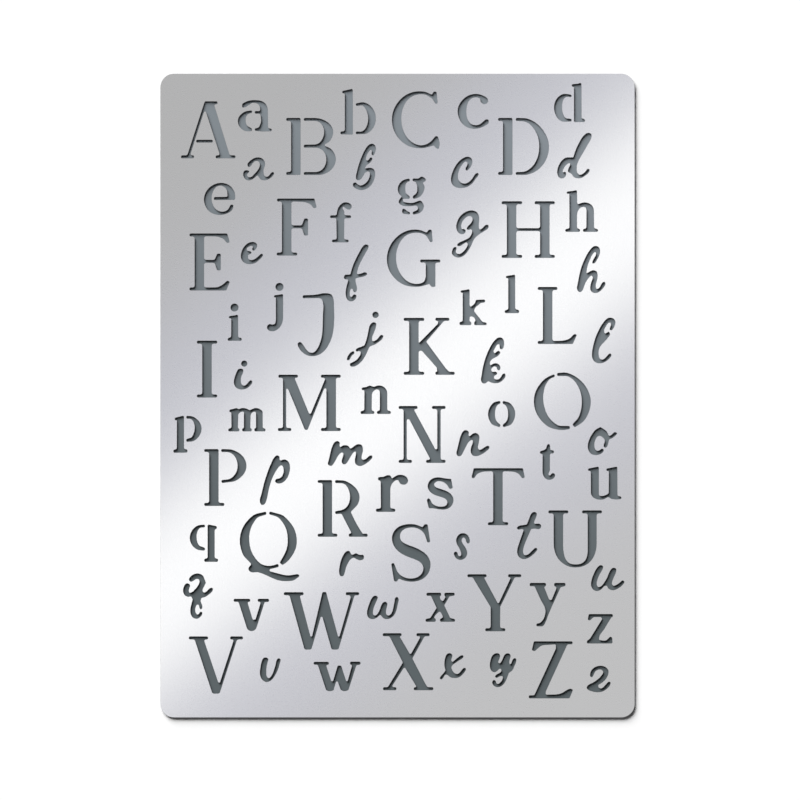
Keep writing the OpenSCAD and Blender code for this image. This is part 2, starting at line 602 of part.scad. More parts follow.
module small_h() {
    opening(concat(
        flag(0.3, 1.1, 3.2, 11.85, 12.35),
        [[3.25, 7.95, 0.6], [4.4, 8.45], [5.6, 8.65], [6.9, 8.35], [7.9, 7.4], [8.2, 6.2],
         [8.25, 1.1, 0.8], [9.4, 0.7, 1], [9.4, 0.1, 1], [5.1, 0.1, 1], [5.1, 0.75, 1],
         [6.1, 1.05, 0.8], [6.15, 6.2], [5.9, 7.2], [5.1, 7.5], [4.1, 7.1], [3.4, 6],
         [3.2, 4.8], [3.2, 1.1, 0.8], [4.1, 0.7, 1], [4.1, 0.1, 1], [-0.1, 0.1, 1],
         [-0.1, 0.75, 1], [1.1, 1.05, 0.8]]
    ));
}

module small_i() {
    translate([1.87, 9.9]) dot(1.1);
    opening(concat(
        flag(0.3, 1, 2.85, 7.3, 7.75),
        [[2.9, 1.0, 0.8], [3.95, 0.85, 1], [3.9, 0.15, 1], [-0.05, 0.15, 1],
         [-0.05, 0.75, 1], [0.95, 1.2, 0.8]]
    ));
}

module small_j() {
    translate([3.65, 10.4]) dot(1.12);
    opening(concat(
        flag(2.1, 2.65, 4.65, 7.85, 8.25),
        [[4.65, 1.5], [4.4, -0.2], [3.6, -1.6], [2.3, -2.5], [1.0, -2.6], [0.2, -2.1],
         [0.05, -1.3], [0.7, -0.65], [1.5, -0.8], [2.3, -0.6], [2.6, 0.3], [2.65, 1.8]]
    ));
}

module small_k() {
    opening(concat(
        flag(0.3, 0.9, 2.8, 10.15, 10.6),
        [[2.8, 5.75, 0.6], [3.2, 5.3, 0.6], [3.8, 5.8], [4.5, 6.5], [4.85, 7.4, 0.8], [7.35, 7.5, 1],
         [7.4, 6.8, 1], [6.2, 6.6], [5.3, 5.9], [4.3, 4.9], [4.1, 4.1, 0.6], [6.4, 1.15],
         [7.0, 0.8], [7.85, 0.65, 1], [7.8, 0.05, 1], [4.3, 0.05, 1], [4.3, 0.85, 1],
         [4.75, 1.2, 0.8], [4.5, 1.9], [3.6, 2.6], [2.85, 2.4], [2.75, 1.1, 0.8],
         [3.3, 0.8, 1], [3.3, 0.05, 1], [-0.05, 0.1, 1], [-0.05, 0.8, 1], [0.9, 1.1, 0.8]]
    ));
}

module small_l() {
    opening(concat(
        flag(0.35, 1.05, 2.95, 10.85, 11.3),
        [[2.95, 1.1, 0.8], [4.1, 0.75, 1], [4.1, 0.0, 1], [0, 0.0, 1], [0, 0.7, 1],
         [1.05, 1.0, 0.8]]
    ));
}

module small_m() {
    opening([
        [0.8, 5.95, 0.6], [0.25, 5.8, 1], [0.25, 6.5, 1], [1.3, 6.7], [2.3, 6.95],
        [2.9, 6.65], [3.6, 6.9], [4.6, 6.95], [5.5, 6.65], [6.2, 6.3, 0.6], [7.2, 6.8],
        [8.2, 6.95], [9.2, 6.6], [9.9, 5.8], [9.95, 1.05, 0.8], [10.75, 0.85, 1],
        [10.75, 0.2, 1], [7.6, 0.2, 1], [7.6, 0.9, 1], [8.1, 1.1, 0.8], [8.1, 5.6],
        [7.6, 6.05], [6.8, 5.7], [6.35, 4.8], [6.25, 1.1, 0.8], [6.7, 0.8, 1],
        [6.7, 0.2, 1], [4.0, 0.2, 1], [4.0, 0.9, 1], [4.5, 1.1, 0.8], [4.55, 5.7],
        [4.2, 6.05], [3.3, 5.8], [2.7, 5], [2.6, 1.1, 0.8], [3.05, 0.8, 1], [3.05, 0.2, 1],
        [-0.1, 0.2, 1], [-0.1, 0.85, 1], [0.85, 1.1, 0.8]
    ]);
}

module small_n() {
    opening([
        [1.1, 7.15, 0.8], [0.3, 7.0, 1], [0.3, 7.7, 1], [1.5, 7.85], [2.6, 8.3], [3.3, 8.05],
        [3.9, 7.95], [4.7, 8.25], [5.7, 8.3], [6.8, 7.85], [7.55, 6.9], [7.7, 5.8],
        [7.7, 1.0, 0.8], [8.75, 0.7, 1], [8.75, 0.05, 1], [4.8, 0.05, 1], [4.8, 0.75, 1],
        [5.65, 1.0, 0.8], [5.65, 6.2], [5.3, 7.15], [4.6, 7.3], [3.7, 6.8], [3.15, 5.7],
        [3.1, 1.0, 0.8], [3.9, 0.65, 1], [3.9, 0.05, 1], [-0.05, 0.05, 1],
        [-0.05, 0.7, 1], [1.05, 1.0, 0.8]
    ]);
}

module small_o() {
    opening([
        [3.6, 7.5, 1], [2.2, 7.2], [0.9, 6.1], [0.2, 4.6], [0.1, 3.2], [0.6, 1.6],
        [1.7, 0.4], [3.5, -0.2, 1], [3.6, 0.45, 1], [2.7, 1.2], [2.1, 2.5], [2.0, 4.1],
        [2.3, 5.6], [2.9, 6.5], [3.6, 6.8, 1]
    ]);
    opening([
        [4.4, 7.5, 1], [5.9, 7.1], [7.2, 6], [7.9, 4.5], [7.9, 3.0], [7.4, 1.5],
        [6.3, 0.35], [4.5, -0.2, 1], [4.4, 0.45, 1], [5.3, 1.2], [5.9, 2.5], [6.0, 4.0],
        [5.7, 5.5], [5.1, 6.4], [4.4, 6.8, 1]
    ]);
}

module small_p() {
    opening([
        [0.95, 6.65, 0.8], [0.3, 6.4, 1], [0.3, 7.1, 1], [2.9, 7.75, 1], [2.9, -2.1, 0.8],
        [3.9, -2.3, 1], [3.9, -3.05, 1], [-0.1, -3.1, 1], [-0.1, -2.4, 1],
        [0.9, -2.1, 0.8]
    ]);
    opening([
        [3.7, 7.7, 1], [5.2, 7.55], [6.6, 6.8], [7.7, 5.5], [8.1, 4.0], [7.7, 2.3],
        [6.6, 0.9], [5.2, 0.2], [3.7, 0.1, 1], [3.7, 0.8, 1], [5.0, 1.2], [5.8, 2.3],
        [6.2, 4], [6.0, 5.6], [5.4, 6.6], [4.6, 6.95], [3.7, 6.95, 1]
    ]);
}

module small_q() {
    opening([
        [4.4, 7.45, 1], [3.0, 7.35], [1.3, 6.5], [0.3, 5], [0.02, 3.5], [0.5, 1.8],
        [1.7, 0.5], [3.0, 0], [4.4, -0.1, 1], [4.4, 0.6, 1], [3.0, 1.1], [2.2, 2.2],
        [1.9, 3.7], [2.1, 5.3], [2.7, 6.4], [3.5, 6.75], [4.4, 6.75, 1]
    ]);
    opening([
        [5.3, 7.5, 1], [7.2, 7.15], [7.95, 6.95, 1], [7.8, 6.35, 1], [7.25, 6.1, 0.8],
        [7.25, -2.4, 0.8], [8.25, -2.7, 1], [8.2, -3.4, 1], [4.3, -3.4, 1], [4.3, -2.7, 1],
        [5.3, -2.4, 0.8]
    ]);
}

module small_r() {
    opening([
        [1.5, 9.25, 0.8], [0.7, 9.5, 1], [0.75, 10.25, 1], [2.3, 10.4, 0.6], [3.4, 10.85, 0.6],
        [4.2, 10.8, 1], [4.7, 9.95], [5.4, 10.3], [6.5, 10.9], [7.8, 10.9], [8.9, 10.4],
        [9.45, 9.4], [9.1, 8.5], [8.2, 8.15], [7.2, 8.5], [6.7, 9.4], [6.1, 9.55],
        [5.1, 8.9], [4.4, 7.8], [4.2, 6.4], [4.2, 1.1, 0.8], [5.65, 0.9, 1],
        [5.65, 0.15, 1], [0.1, 0.15, 1], [0.1, 0.9, 1], [1.55, 1.1, 0.8]
    ]);
}

module small_s() {
    opening([
        [6.5, 8.95, 1], [7.05, 9.0, 1], [7.55, 6.3, 1], [6.7, 6.1, 1], [6.1, 7.1],
        [5.1, 8.0], [3.8, 8.4], [2.6, 8.2], [2.0, 7.4], [2.3, 6.7], [3.6, 6.1],
        [5.4, 5.5], [6.9, 4.6], [7.7, 3.3], [7.6, 1.9], [6.8, 0.7], [5.3, 0.05],
        [3.5, 0.1], [1.7, 0.4], [0.6, 0.4, 1], [0.05, 2.6], [0.5, 3.2], [0.95, 2.7],
        [1.5, 1.7], [2.6, 1.0], [4.1, 0.75], [5.6, 1.1], [6.1, 2.0], [5.7, 3.0],
        [4.3, 3.7], [2.4, 4.3], [0.9, 5.3], [0.25, 6.7], [0.6, 8.1], [1.7, 9.1],
        [3.3, 9.4], [5, 9.15]
    ]);
}

module small_t() {
    opening([
        [0.9, 7.4, 0.6], [0.1, 7.5, 1], [0.1, 8.1, 1], [1.2, 8.45], [1.9, 9.0],
        [2.2, 9.9], [2.6, 10.25], [2.95, 9.8], [3.0, 8.5, 0.8], [4.1, 8.3, 1],
        [4.1, 7.65, 1], [2.9, 7.5, 0.8], [2.9, 2.6], [2.5, 1.6], [2.55, 1.1], [3.1, 1.0],
        [3.4, 1.4], [3.9, 1.65], [4.4, 1.3], [4.3, 0.6], [3.6, 0.0], [2.7, -0.2],
        [1.7, 0.2], [1.05, 1.1], [0.85, 2.4]
    ]);
}

module small_u() {
    opening([
        [0.9, 8.4, 0.8], [0.1, 8.3, 1], [0.1, 8.9, 1], [1.4, 9.15, 0.6], [3.15, 9.5, 1],
        [3.15, 1.6], [3.4, 0.9], [4.2, 0.8], [5.3, 1.1], [6.2, 1.9], [6.25, 8.4, 0.8],
        [5.5, 8.3, 1], [5.5, 8.9, 1], [6.9, 9.15, 0.6], [8.6, 9.5, 1], [8.65, 0.8, 0.8],
        [9.8, 0.65, 1], [9.8, 0.05, 1], [8.1, -0.1], [6.9, 0.1, 0.6], [6.2, 0.55],
        [4.6, -0.05], [2.9, -0.1], [1.6, 0.5], [0.95, 1.7]
    ]);
}

module small_v() {
    opening([
        [1.4, 8.5, 0.8], [0, 8.5, 1], [0, 9.25, 1], [4.75, 9.25, 1], [4.75, 8.55, 1],
        [3.9, 8.4, 0.8], [5.5, 3.1, 0.6], [6.4, 3.1, 0.6], [8.05, 8.4, 0.8],
        [7.1, 8.55, 1], [7.1, 9.25, 1], [10.3, 9.25, 1], [10.3, 8.5, 1], [9.0, 8.4, 0.8],
        [6.6, 0.8], [5.6, -0.1], [4.7, -0.05], [3.9, 0.7]
    ]);
}

module small_w() {
    opening([
        [1.2, 7.75, 0.8], [0, 7.75, 1], [0, 8.45, 1], [4.35, 8.45, 1], [4.35, 7.75, 1],
        [3.5, 7.6, 0.8], [5.1, 2.7, 0.6], [5.7, 2.7, 0.6], [7.1, 7.35, 1], [8.0, 7.35, 1],
        [9.5, 2.7, 0.6], [10.0, 2.7, 0.6], [11.4, 7.6, 0.8], [10.75, 7.8, 1],
        [10.75, 8.5, 1], [13.7, 8.5, 1], [13.7, 7.75, 1], [12.5, 7.6, 0.8], [10.2, 0.4],
        [9.8, 0.1], [8.3, 0.1], [7.9, 0.5], [7.1, 2.8, 1.5], [6.5, 2.8, 1.5], [5.8, 0.3],
        [5.4, 0.05], [4.0, 0.05], [3.6, 0.4]
    ]);
}

module small_x() {
    opening([
        [1.5, 7.8, 0.8], [0.2, 7.75, 1], [0.2, 8.55, 1], [4.4, 8.55, 1], [4.4, 7.8, 1],
        [4.0, 7.6, 0.8], [4.3, 6.5], [5.0, 6.0, 0.6], [5.9, 7.4, 0.8], [5.5, 7.8, 1],
        [5.5, 8.55, 1], [8.4, 8.55, 1], [8.4, 7.85, 1], [6.9, 7.6, 0.8], [5.3, 4.9, 0.6],
        [7.0, 1.3], [7.5, 1.0], [8.5, 0.75, 1], [8.5, 0.1, 1], [4.2, 0.1, 1],
        [4.2, 0.8, 1], [5.1, 1.3, 0.8], [4.7, 2.4], [4.0, 3.2, 0.6], [2.7, 2.0],
        [2.2, 1.2, 0.6], [2.8, 0.9, 1], [2.8, 0.1, 1], [-0.05, 0.1, 1], [-0.05, 0.8, 1],
        [1.3, 1.1, 0.8], [3.2, 4.1, 0.6]
    ]);
}

module small_y() {
    opening([
        [1.4, 8.9, 0.8], [0, 8.9, 1], [0, 9.75, 1], [4.65, 9.75, 1], [4.65, 8.9, 1],
        [4.05, 8.7, 0.8], [5.4, 5.3], [5.8, 4.75], [6.5, 4.9], [8.0, 8.5, 0.8],
        [7.2, 9.0, 1], [7.2, 9.75, 1], [10.4, 9.75, 1], [10.4, 8.95, 1], [9.0, 8.6, 0.8],
        [6.4, 2.9], [5.2, 0.1], [4.3, -2.2], [3.6, -2.95], [2.0, -2.95, 1], [1.9, -2.3, 1],
        [2.8, -2.1], [3.5, -1.6], [4.6, 0.9], [4.65, 1.7], [3.2, 4.9]
    ]);
}

module small_z() {
    opening([
        [0.6, 8.75, 1], [7.6, 8.75, 1], [7.6, 8.1, 1], [7.1, 7.8, 0.8], [5.05, 4.4],
        [3.5, 1.75], [3.6, 1.15], [4.2, 1.0], [5.8, 1.05], [6.4, 1.6], [6.9, 2.05],
        [7.4, 1.7], [7.5, 0.2, 1], [0, 0.2, 1], [0.1, 0.9, 1], [0.95, 1.5, 1],
        [4.6, 7.4, 0.6],
        [4.2, 8.0, 0.6], [2.2, 8.0], [1.5, 7.6], [0.9, 7.0, 1], [0.3, 7.1, 1]
    ]);
}

// Script letters
//
// Written with one pen, so nearly every point lies on a curve.

module script_a() {
    opening([
        [1.35, 4.5], [2.3, 5.8], [3.8, 6.6], [5.3, 6.5], [6.3, 5.5], [6.4, 4.4], [6.0, 3.2],
        [6.0, 2.0], [6.4, 1.1], [7.1, 0.9], [7.9, 1.5], [8.6, 2.3], [9.05, 2.2], [9, 1.7],
        [8.2, 0.8], [7.2, 0.2], [6.2, 0.0], [5.2, 0.3], [4.7, 1.0], [4.2, 1.6, 0.6], [3.4, 0.8],
        [2.3, 0.1], [1.2, 0.05], [0.4, 0.7], [0.1, 1.8], [0.4, 2.7], [1.1, 2.85], [1.75, 2.6],
        [1.4, 2.1], [1.05, 1.6], [1.4, 0.9], [2.2, 0.8], [3.5, 1.9], [4.7, 3.4], [5.05, 4.6],
        [4.7, 5.5], [3.9, 5.8], [2.9, 5.2], [2.3, 4.3], [1.7, 3.9]
    ]);
}

module script_b() {
    opening([
        [1.0, 0.6], [1.2, 2.2], [1.9, 4.8], [2.8, 7.2], [3.8, 9.2], [4.8, 10.4], [5.7, 10.7],
        [6.5, 10.2], [6.75, 9.2], [6.4, 8.0], [6.1, 7.4], [5.7, 7.5], [5.6, 8.1], [5.7, 8.7],
        [5.3, 9.0], [4.5, 8.2], [3.9, 6.9], [3.9, 5.9], [4.3, 5.6, 0.6], [4.8, 6.1], [5.3, 6.65],
        [5.7, 6.4], [5.5, 5.8], [4.8, 5.0], [3.9, 4.35], [3.3, 3.3, 0.6], [4.1, 3.45],
        [5.1, 3.6], [6.1, 3.2], [6.5, 2.2], [6.3, 0.5], [5.6, -1.1], [4.2, -2.4],
        [2.5, -2.9], [1.1, -2.5], [0.1, -1.6], [0.2, -0.95], [0.75, -0.75], [1.3, -1.2],
        [2.1, -1.65], [3.3, -1.3], [4.4, -0.3], [5.0, 1.0], [5.1, 2.1], [4.6, 2.65],
        [4.0, 2.5], [3.5, 2.2, 0.6], [2.65, 0.7], [1.9, 0.1], [1.25, 0.1]
    ]);
}

module script_c() {
    opening([
        [4.8, 9.15], [3.2, 8.5], [1.5, 6.7], [0.4, 4.4], [0.02, 2.7], [0.4, 1.1], [1.6, 0.2],
        [3.2, 0.05], [4.8, 0.4], [6.2, 1.4], [7.3, 2.9], [8.05, 3.9], [7.9, 4.35],
        [7.4, 4.2], [6.3, 2.7], [5.3, 1.7], [4.1, 1.2], [2.9, 1.5], [2.05, 2.5], [1.95, 3.9],
        [2.4, 5.5], [3.4, 7.2], [4.3, 7.9], [4.9, 7.5], [4.7, 6.4], [4.3, 5.6], [4.6, 5.2],
        [5.2, 5.6], [6.0, 6.8], [6.2, 8.1], [5.7, 8.9]
    ]);
}

module script_d() {
    opening([
        [9.2, 13.3], [10.0, 13.0], [10.1, 12.2], [9.2, 10.3], [7.9, 8.0], [6.7, 6.0],
        [5.9, 4.3], [5.7, 2.6], [5.9, 1.5], [6.7, 0.9], [7.6, 1.2], [8.5, 2.0], [9.0, 2.65],
        [9.5, 2.5], [9.4, 1.9], [8.4, 0.9], [7.3, 0.2], [6.0, 0], [4.9, 0.45], [4.4, 1.2],
        [3.8, 1.6], [3.3, 1.9], [3.3, 2.5], [3.7, 3.4], [3.95, 4.3], [3.5, 4.5], [2.7, 4.0],
        [1.9, 2.9], [1.6, 1.9], [1.8, 1.6, 0.6], [2.3, 1.8], [2.6, 1.3], [2.2, 0.3],
        [1.3, -0.05], [0.5, 0.4], [0.1, 1.6], [0.5, 3.6], [1.5, 5.2], [3.0, 6.05],
        [4.8, 6.05, 0.6], [5.4, 7.9], [6.5, 10.3], [7.8, 12.4]
    ]);
}

module script_e() {
    opening([
        [3.3, 6.5], [2.0, 6.1], [0.8, 4.9], [0.1, 3.2], [0.05, 1.9], [0.6, 0.8], [1.7, 0.15],
        [2.9, 0.1], [4.3, 0.5], [5.4, 1.4], [6.3, 2.4], [6.4, 2.8], [6.0, 3.0], [5.5, 2.6],
        [4.6, 1.8], [3.5, 1.2], [2.6, 1.2], [2.0, 1.8], [2.0, 2.8, 0.6], [2.7, 3.05],
        [3.0, 3.4], [2.6, 3.75], [1.7, 3.9, 0.6], [1.6, 4.5], [2.3, 5.2], [3.1, 5.5],
        [3.6, 5.1], [3.35, 4.5], [3.6, 4.05], [4.0, 4.2], [4.6, 5.0], [4.65, 5.8], [4.1, 6.35]
    ]);
}

module script_f() {
    opening([
        [6.4, 11.65], [7.15, 11.4], [7.1, 10.7], [6.3, 9.3], [5.2, 7.2], [4.1, 4.8],
        [3.6, 2.75, 0.6], [5.0, 3.05], [6.4, 3.4], [6.75, 3.0], [6.4, 2.6], [4.9, 2.15],
        [3.3, 1.75, 0.6], [3.35, 0.6], [3.7, -0.7], [3.7, -1.8], [3.2, -2.35], [2.8, -2.0],
        [2.6, -1.4], [2.1, -1.3], [1.7, -2.0], [1.6, -3.0], [1.9, -3.8], [2.4, -3.8],
        [2.7, -3.3], [3.2, -3.1], [3.6, -3.5], [3.4, -4.2], [2.8, -4.8], [2.0, -5.05],
        [1.1, -4.6], [0.6, -3.4], [0.6, -1.8], [1.0, 0.0], [1.4, 1.5, 0.6], [0.6, 1.5],
        [0.1, 1.7], [0.1, 2.3], [0.5, 2.75], [1.9, 2.75, 0.6], [2.4, 4.6], [3.4, 7.1],
        [4.7, 9.6], [5.7, 11.2]
    ]);
}

module script_g() {
    opening([
        [5.8, 7.2], [4.2, 6.85], [2.6, 5.7], [1.5, 3.7], [1.3, 2.1], [1.8, 0.9], [2.8, 0.3],
        [3.7, 0.6], [3.95, 1.2], [3.5, 1.7], [2.9, 1.7], [2.6, 2.8], [3.1, 4.2], [4.1, 5.3],
        [5.2, 5.7], [6.0, 5.2], [6.1, 4.4], [5.5, 3.3], [4.6, 2.4], [4.4, 1.8], [4.9, 1.6],
        [5.5, 1.8], [6.0, 1.3], [5.8, 0.3], [5.2, -0.7], [4.3, -1.3], [3, -1.9],
        [1.8, -2.55], [1.55, -3.0], [2.1, -3.25], [3.3, -2.6], [4.3, -2.1], [4.7, -2.7],
        [4.4, -3.6], [3.3, -5.0], [2.1, -5.7], [1.2, -5.4], [1.0, -4.7], [1.25, -4.1],
        [1.1, -3.6], [0.6, -3.7], [0.1, -4.6], [0.05, -5.5], [0.8, -6.3], [2.0, -6.6],
        [3.3, -6.1], [4.5, -4.9], [5.6, -3.0], [6.5, -1.1], [7.2, -0.3], [8.3, 0.5],
        [9.6, 1.3], [10.7, 2.3], [10.6, 2.9], [10.1, 2.95], [9.0, 2.0], [8.0, 1.25, 1],
        [7.8, 2.5], [7.9, 4.2], [7.8, 5.8], [7.1, 6.8]
    ]);
}

module script_h() {
    opening([
        [0.1, 1.0], [0.3, 3.0], [0.7, 5.2], [1.4, 7.8], [2.5, 10.4], [3.8, 12.6], [5.2, 13.8],
        [6.2, 13.6], [6.7, 12.7], [6.5, 11.2], [5.8, 9.8], [5.1, 8.85], [4.6, 8.8],
        [4.6, 9.3], [5.2, 10.4], [5.7, 11.6], [5.4, 12.2], [4.7, 11.7], [3.7, 9.8],
        [2.9, 7.5], [2.6, 5.6, 0.6], [3.5, 6.1], [4.7, 6.65], [5.7, 6.3], [6.0, 5.2],
        [5.7, 3.4], [5.4, 1.9], [5.8, 1.1], [6.4, 1.3], [7.0, 2.1], [7.6, 3.1],
        [8.1, 3.2], [8.3, 2.7], [7.8, 1.7], [6.9, 0.7], [5.9, 0.1], [4.9, 0.1],
        [4.1, 0.7], [3.95, 1.7], [4.3, 3.3], [4.7, 4.7], [4.3, 5.2], [3.4, 4.5],
        [2.4, 3.0], [1.8, 1.4], [1.4, 0.6], [0.7, 0.3]
    ]);
}

module script_i() {
    translate([3.05, 7.55]) dot(0.84);
    opening([
        [1.9, 6.0], [2.6, 5.8], [2.7, 5.2], [2.2, 4.0], [1.95, 2.6], [2.2, 1.4],
        [3.0, 0.95], [3.8, 1.4], [4.5, 2.25], [5.0, 2.6], [5.35, 2.2], [5.0, 1.4],
        [4.1, 0.5], [2.9, 0.0], [1.6, 0.05], [0.5, 0.7], [0.05, 1.8], [0.3, 3.5],
        [0.8, 4.9], [1.3, 5.8]
    ]);
}

module script_j() {
    translate([8.4, 10.35]) dot(0.86);
    opening([
        [7.8, 8.1], [8.5, 7.8], [8.5, 7.1], [8.0, 5.4], [7.3, 3.3], [7.4, 2.4, 0.6],
        [8.2, 2.6], [9.3, 3.5], [10.1, 4.35], [10.6, 4.15], [10.5, 3.6], [9.2, 2.3],
        [7.9, 1.5], [6.7, 1.05], [6.3, 0.4], [5.7, -1.0], [4.6, -2.9], [3.2, -4.3],
        [1.9, -4.9], [1.0, -4.7], [0.95, -4.1], [1.6, -3.75], [2.6, -3.2], [3.6, -2.1],
        [4.1, -1.0], [4.0, -0.5], [3.5, -0.3], [2.9, -0.45], [2.6, -0.1], [3.0, 0.4],
        [4.1, 0.8], [5.2, 1.3, 0.6], [5.7, 2.7], [6.3, 5.2], [6.9, 7.4]
    ]);
    opening([
        [0.05, -2.5], [0.6, -1.4], [1.4, -0.6], [2.0, -0.5], [2.05, -1.0], [1.4, -1.6],
        [0.9, -2.5], [0.5, -3.0], [0.1, -2.95]
    ]);
}

module script_k() {
    opening([
        [0.15, 0.6], [0.3, 2.4], [0.8, 5.2], [1.6, 7.9], [2.7, 10.4], [4.0, 12.4], [5.3, 13.4],
        [6.3, 13.2], [6.75, 12.2], [6.7, 10.9], [6.3, 10.1], [5.8, 10.1], [5.6, 10.7],
        [5.5, 11.5], [5.0, 11.5], [4.1, 10.3], [3.7, 9.2], [4.0, 8.6, 0.6], [4.6, 9.1],
        [5.2, 9.45], [5.65, 9.1], [5.4, 8.5], [4.6, 7.8], [3.4, 7.2], [2.7, 6.4], [2.6, 5.6],
        [2.8, 5.1, 0.6], [3.4, 5.5], [4.4, 5.8], [5.3, 5.4], [5.7, 4.6], [5.4, 3.85],
        [4.95, 4.0], [4.7, 4.7], [4.1, 5.0], [3.3, 4.6], [3.0, 3.7], [3.3, 3.2, 0.6],
        [4.2, 3.3], [4.75, 2.9], [4.4, 2.4], [3.8, 2.2, 0.6], [3.8, 1.4], [4.4, 1.0],
        [5.3, 1.1], [6.0, 1.8], [6.5, 2.6], [7.0, 2.75], [7.2, 2.2], [6.6, 1.1], [5.6, 0.3],
        [4.2, 0], [3.0, 0.25], [2.1, 0.65, 0.6], [1.5, 0.1], [0.6, 0.0]
    ]);
}

module script_l() {
    opening([
        [0.05, 2.6], [0.4, 5.0], [1.1, 7.5], [2.2, 10.0], [3.6, 12.2], [4.9, 13.3],
        [6.1, 13.2], [6.8, 12.4], [6.7, 11.3], [6.2, 10.2], [5.7, 9.75], [5.3, 9.9],
        [5.4, 10.5], [5.7, 11.3], [5.5, 12.0], [4.8, 11.9], [4.0, 10.8], [3.5, 9.4],
        [3.7, 8.5, 0.6], [4.4, 8.9], [4.9, 9.15], [5.25, 8.7], [4.7, 7.6], [3.6, 6.3],
        [2.4, 5.0], [1.9, 3.7], [1.9, 2.2], [2.3, 1.2], [3.1, 0.95], [4.0, 1.5], [4.8, 2.4],
        [5.3, 2.8], [5.65, 2.4], [5.4, 1.8], [4.4, 0.8], [3.2, 0.15], [1.9, 0], [0.8, 0.5],
        [0.2, 1.4]
    ]);
}

module script_m() {
    opening([
        [0.05, 0.5], [0.25, 1.8], [0.8, 4.1], [1.4, 6.1], [2.1, 7.1], [2.9, 7.3], [3.4, 6.8],
        [3.3, 6.1], [3.5, 5.4, 0.6], [4.2, 5.9], [5.1, 6.1], [6.0, 5.8], [6.6, 4.95, 0.6],
        [7.7, 5.8], [8.8, 6.4], [9.8, 6.2], [10.2, 5.3], [10.1, 4.0], [9.8, 2.8], [9.9, 2.0],
        [10.6, 1.8], [11.6, 2.4], [12.3, 3.0], [12.85, 3.05], [13.0, 2.6], [12.5, 1.9],
        [11.3, 0.9], [9.9, 0.15], [8.9, 0.15], [8.1, 0.8], [8.0, 2.1], [8.3, 3.7], [8.1, 4.4],
        [7.5, 4.1], [6.7, 3.0], [5.9, 1.6], [5.2, 0.7], [4.5, 0.6], [4.1, 1.2], [4.3, 2.4],
        [4.6, 3.6], [4.2, 4.1], [3.4, 3.7], [2.5, 2.4], [1.6, 0.8], [0.9, 0.1]
    ]);
}

module script_n() {
    opening([
        [0.0, 0.5], [0.25, 2.2], [0.8, 4.5], [1.5, 6.6], [2.3, 7.5], [3.1, 7.4], [3.5, 6.8],
        [3.4, 6.1], [3.7, 5.6, 0.6], [4.6, 6.4], [5.5, 6.7], [6.4, 6.2], [6.6, 5.2],
        [6.3, 3.4], [6.2, 2.2], [6.7, 1.7], [7.8, 2.2], [9.0, 2.9], [9.5, 2.8], [9.5, 2.3],
        [8.6, 1.4], [7.1, 0.4], [5.8, 0], [4.7, 0.2], [4.2, 1.0], [4.3, 2.6], [4.8, 4.0],
        [4.6, 4.8], [3.8, 4.5], [2.8, 3.1], [1.7, 0.9], [1.1, 0.05], [0.4, 0]
    ]);
}

module script_o() {
    opening([
        [3.7, 8.15, 0.6], [5.0, 7.3], [5.8, 6.3], [6.2, 5.35, 0.6], [7.0, 5.9], [8.0, 6.65],
        [8.5, 6.4], [8.0, 5.7], [7.1, 5.0], [6.2, 4.6, 0.6], [5.9, 3.4], [5.5, 2.4],
        [5.0, 2.2], [4.7, 2.7], [5.0, 3.7], [5.0, 4.5], [4.4, 5.2], [3.6, 5.7], [2.8, 5.5],
        [2.1, 4.4], [1.8, 2.9], [2.1, 1.6], [2.8, 1.1], [3.6, 1.4], [4.2, 1.8], [4.6, 1.4],
        [4.3, 0.8], [3.5, 0.25], [2.3, 0], [1.1, 0.3], [0.3, 1.2], [0, 2.6], [0.4, 4.4],
        [1.4, 6.3], [2.6, 7.6]
    ]);
}

module script_p() {
    opening([
        [0.05, -5.3], [0.5, -2.9], [1.2, 0], [2.2, 3.2], [3.4, 6.2], [4.4, 8.0], [5.1, 8.4],
        [5.7, 8.0], [5.7, 7.3], [5.9, 6.8, 0.6], [6.7, 7.1], [7.6, 7.1], [8.5, 6.3], [8.8, 5.0],
        [8.5, 3.0], [7.6, 1.3], [6.2, 0.3], [5.0, 0.3], [4.5, 0.8], [4.8, 1.4], [5.7, 1.6],
        [6.5, 2.2], [7.0, 3.3], [7.0, 4.6], [6.6, 5.5], [6.0, 5.5], [5.2, 4.7], [4.0, 2.7],
        [3.1, 0.5], [2.4, -2.1], [1.8, -4.9], [1.3, -5.9], [0.5, -6.1]
    ]);
}

module script_q() {
    opening([
        [1.8, 6.1], [2.3, 6.9], [3.4, 7.6], [4.7, 7.7], [5.8, 7.1], [6.3, 6.0],
        [6.65, 5.1, 0.6], [6.2, 4.1], [5.7, 3.1], [5.8, 2.3], [6.4, 2.1], [7.4, 2.9],
        [8.2, 3.5], [8.7, 3.4], [8.7, 2.9], [7.6, 1.7], [6.4, 0.9], [5.3, 0.6, 0.6],
        [5.1, -0.3], [5.5, -1.4], [5.6, -2.4], [5.2, -2.7], [4.9, -2.3], [4.7, -1.5],
        [4.2, -1.3], [3.8, -1.7], [3.5, -2.9], [3.7, -3.9], [4.2, -4.4], [4.7, -4.2],
        [5.1, -3.6], [5.5, -3.6], [5.6, -4.1], [5.1, -4.9], [4.2, -5.5], [3.1, -5.3],
        [2.4, -4.4], [2.2, -3.0], [2.5, -1.4], [2.9, 0.2, 0.6], [2.5, 0.95], [1.3, 1.0],
        [0.4, 1.6], [0.05, 2.7], [0.3, 3.9], [1.0, 4.8], [1.7, 4.7], [2.0, 4.2],
        [1.8, 3.6], [1.6, 2.9], [1.8, 2.1], [2.4, 2.1], [3.4, 2.9], [4.4, 4.1],
        [4.9, 5.2], [4.8, 6.0], [4.2, 6.3], [3.4, 6.0], [2.7, 5.5], [2.1, 5.5]
    ]);
}

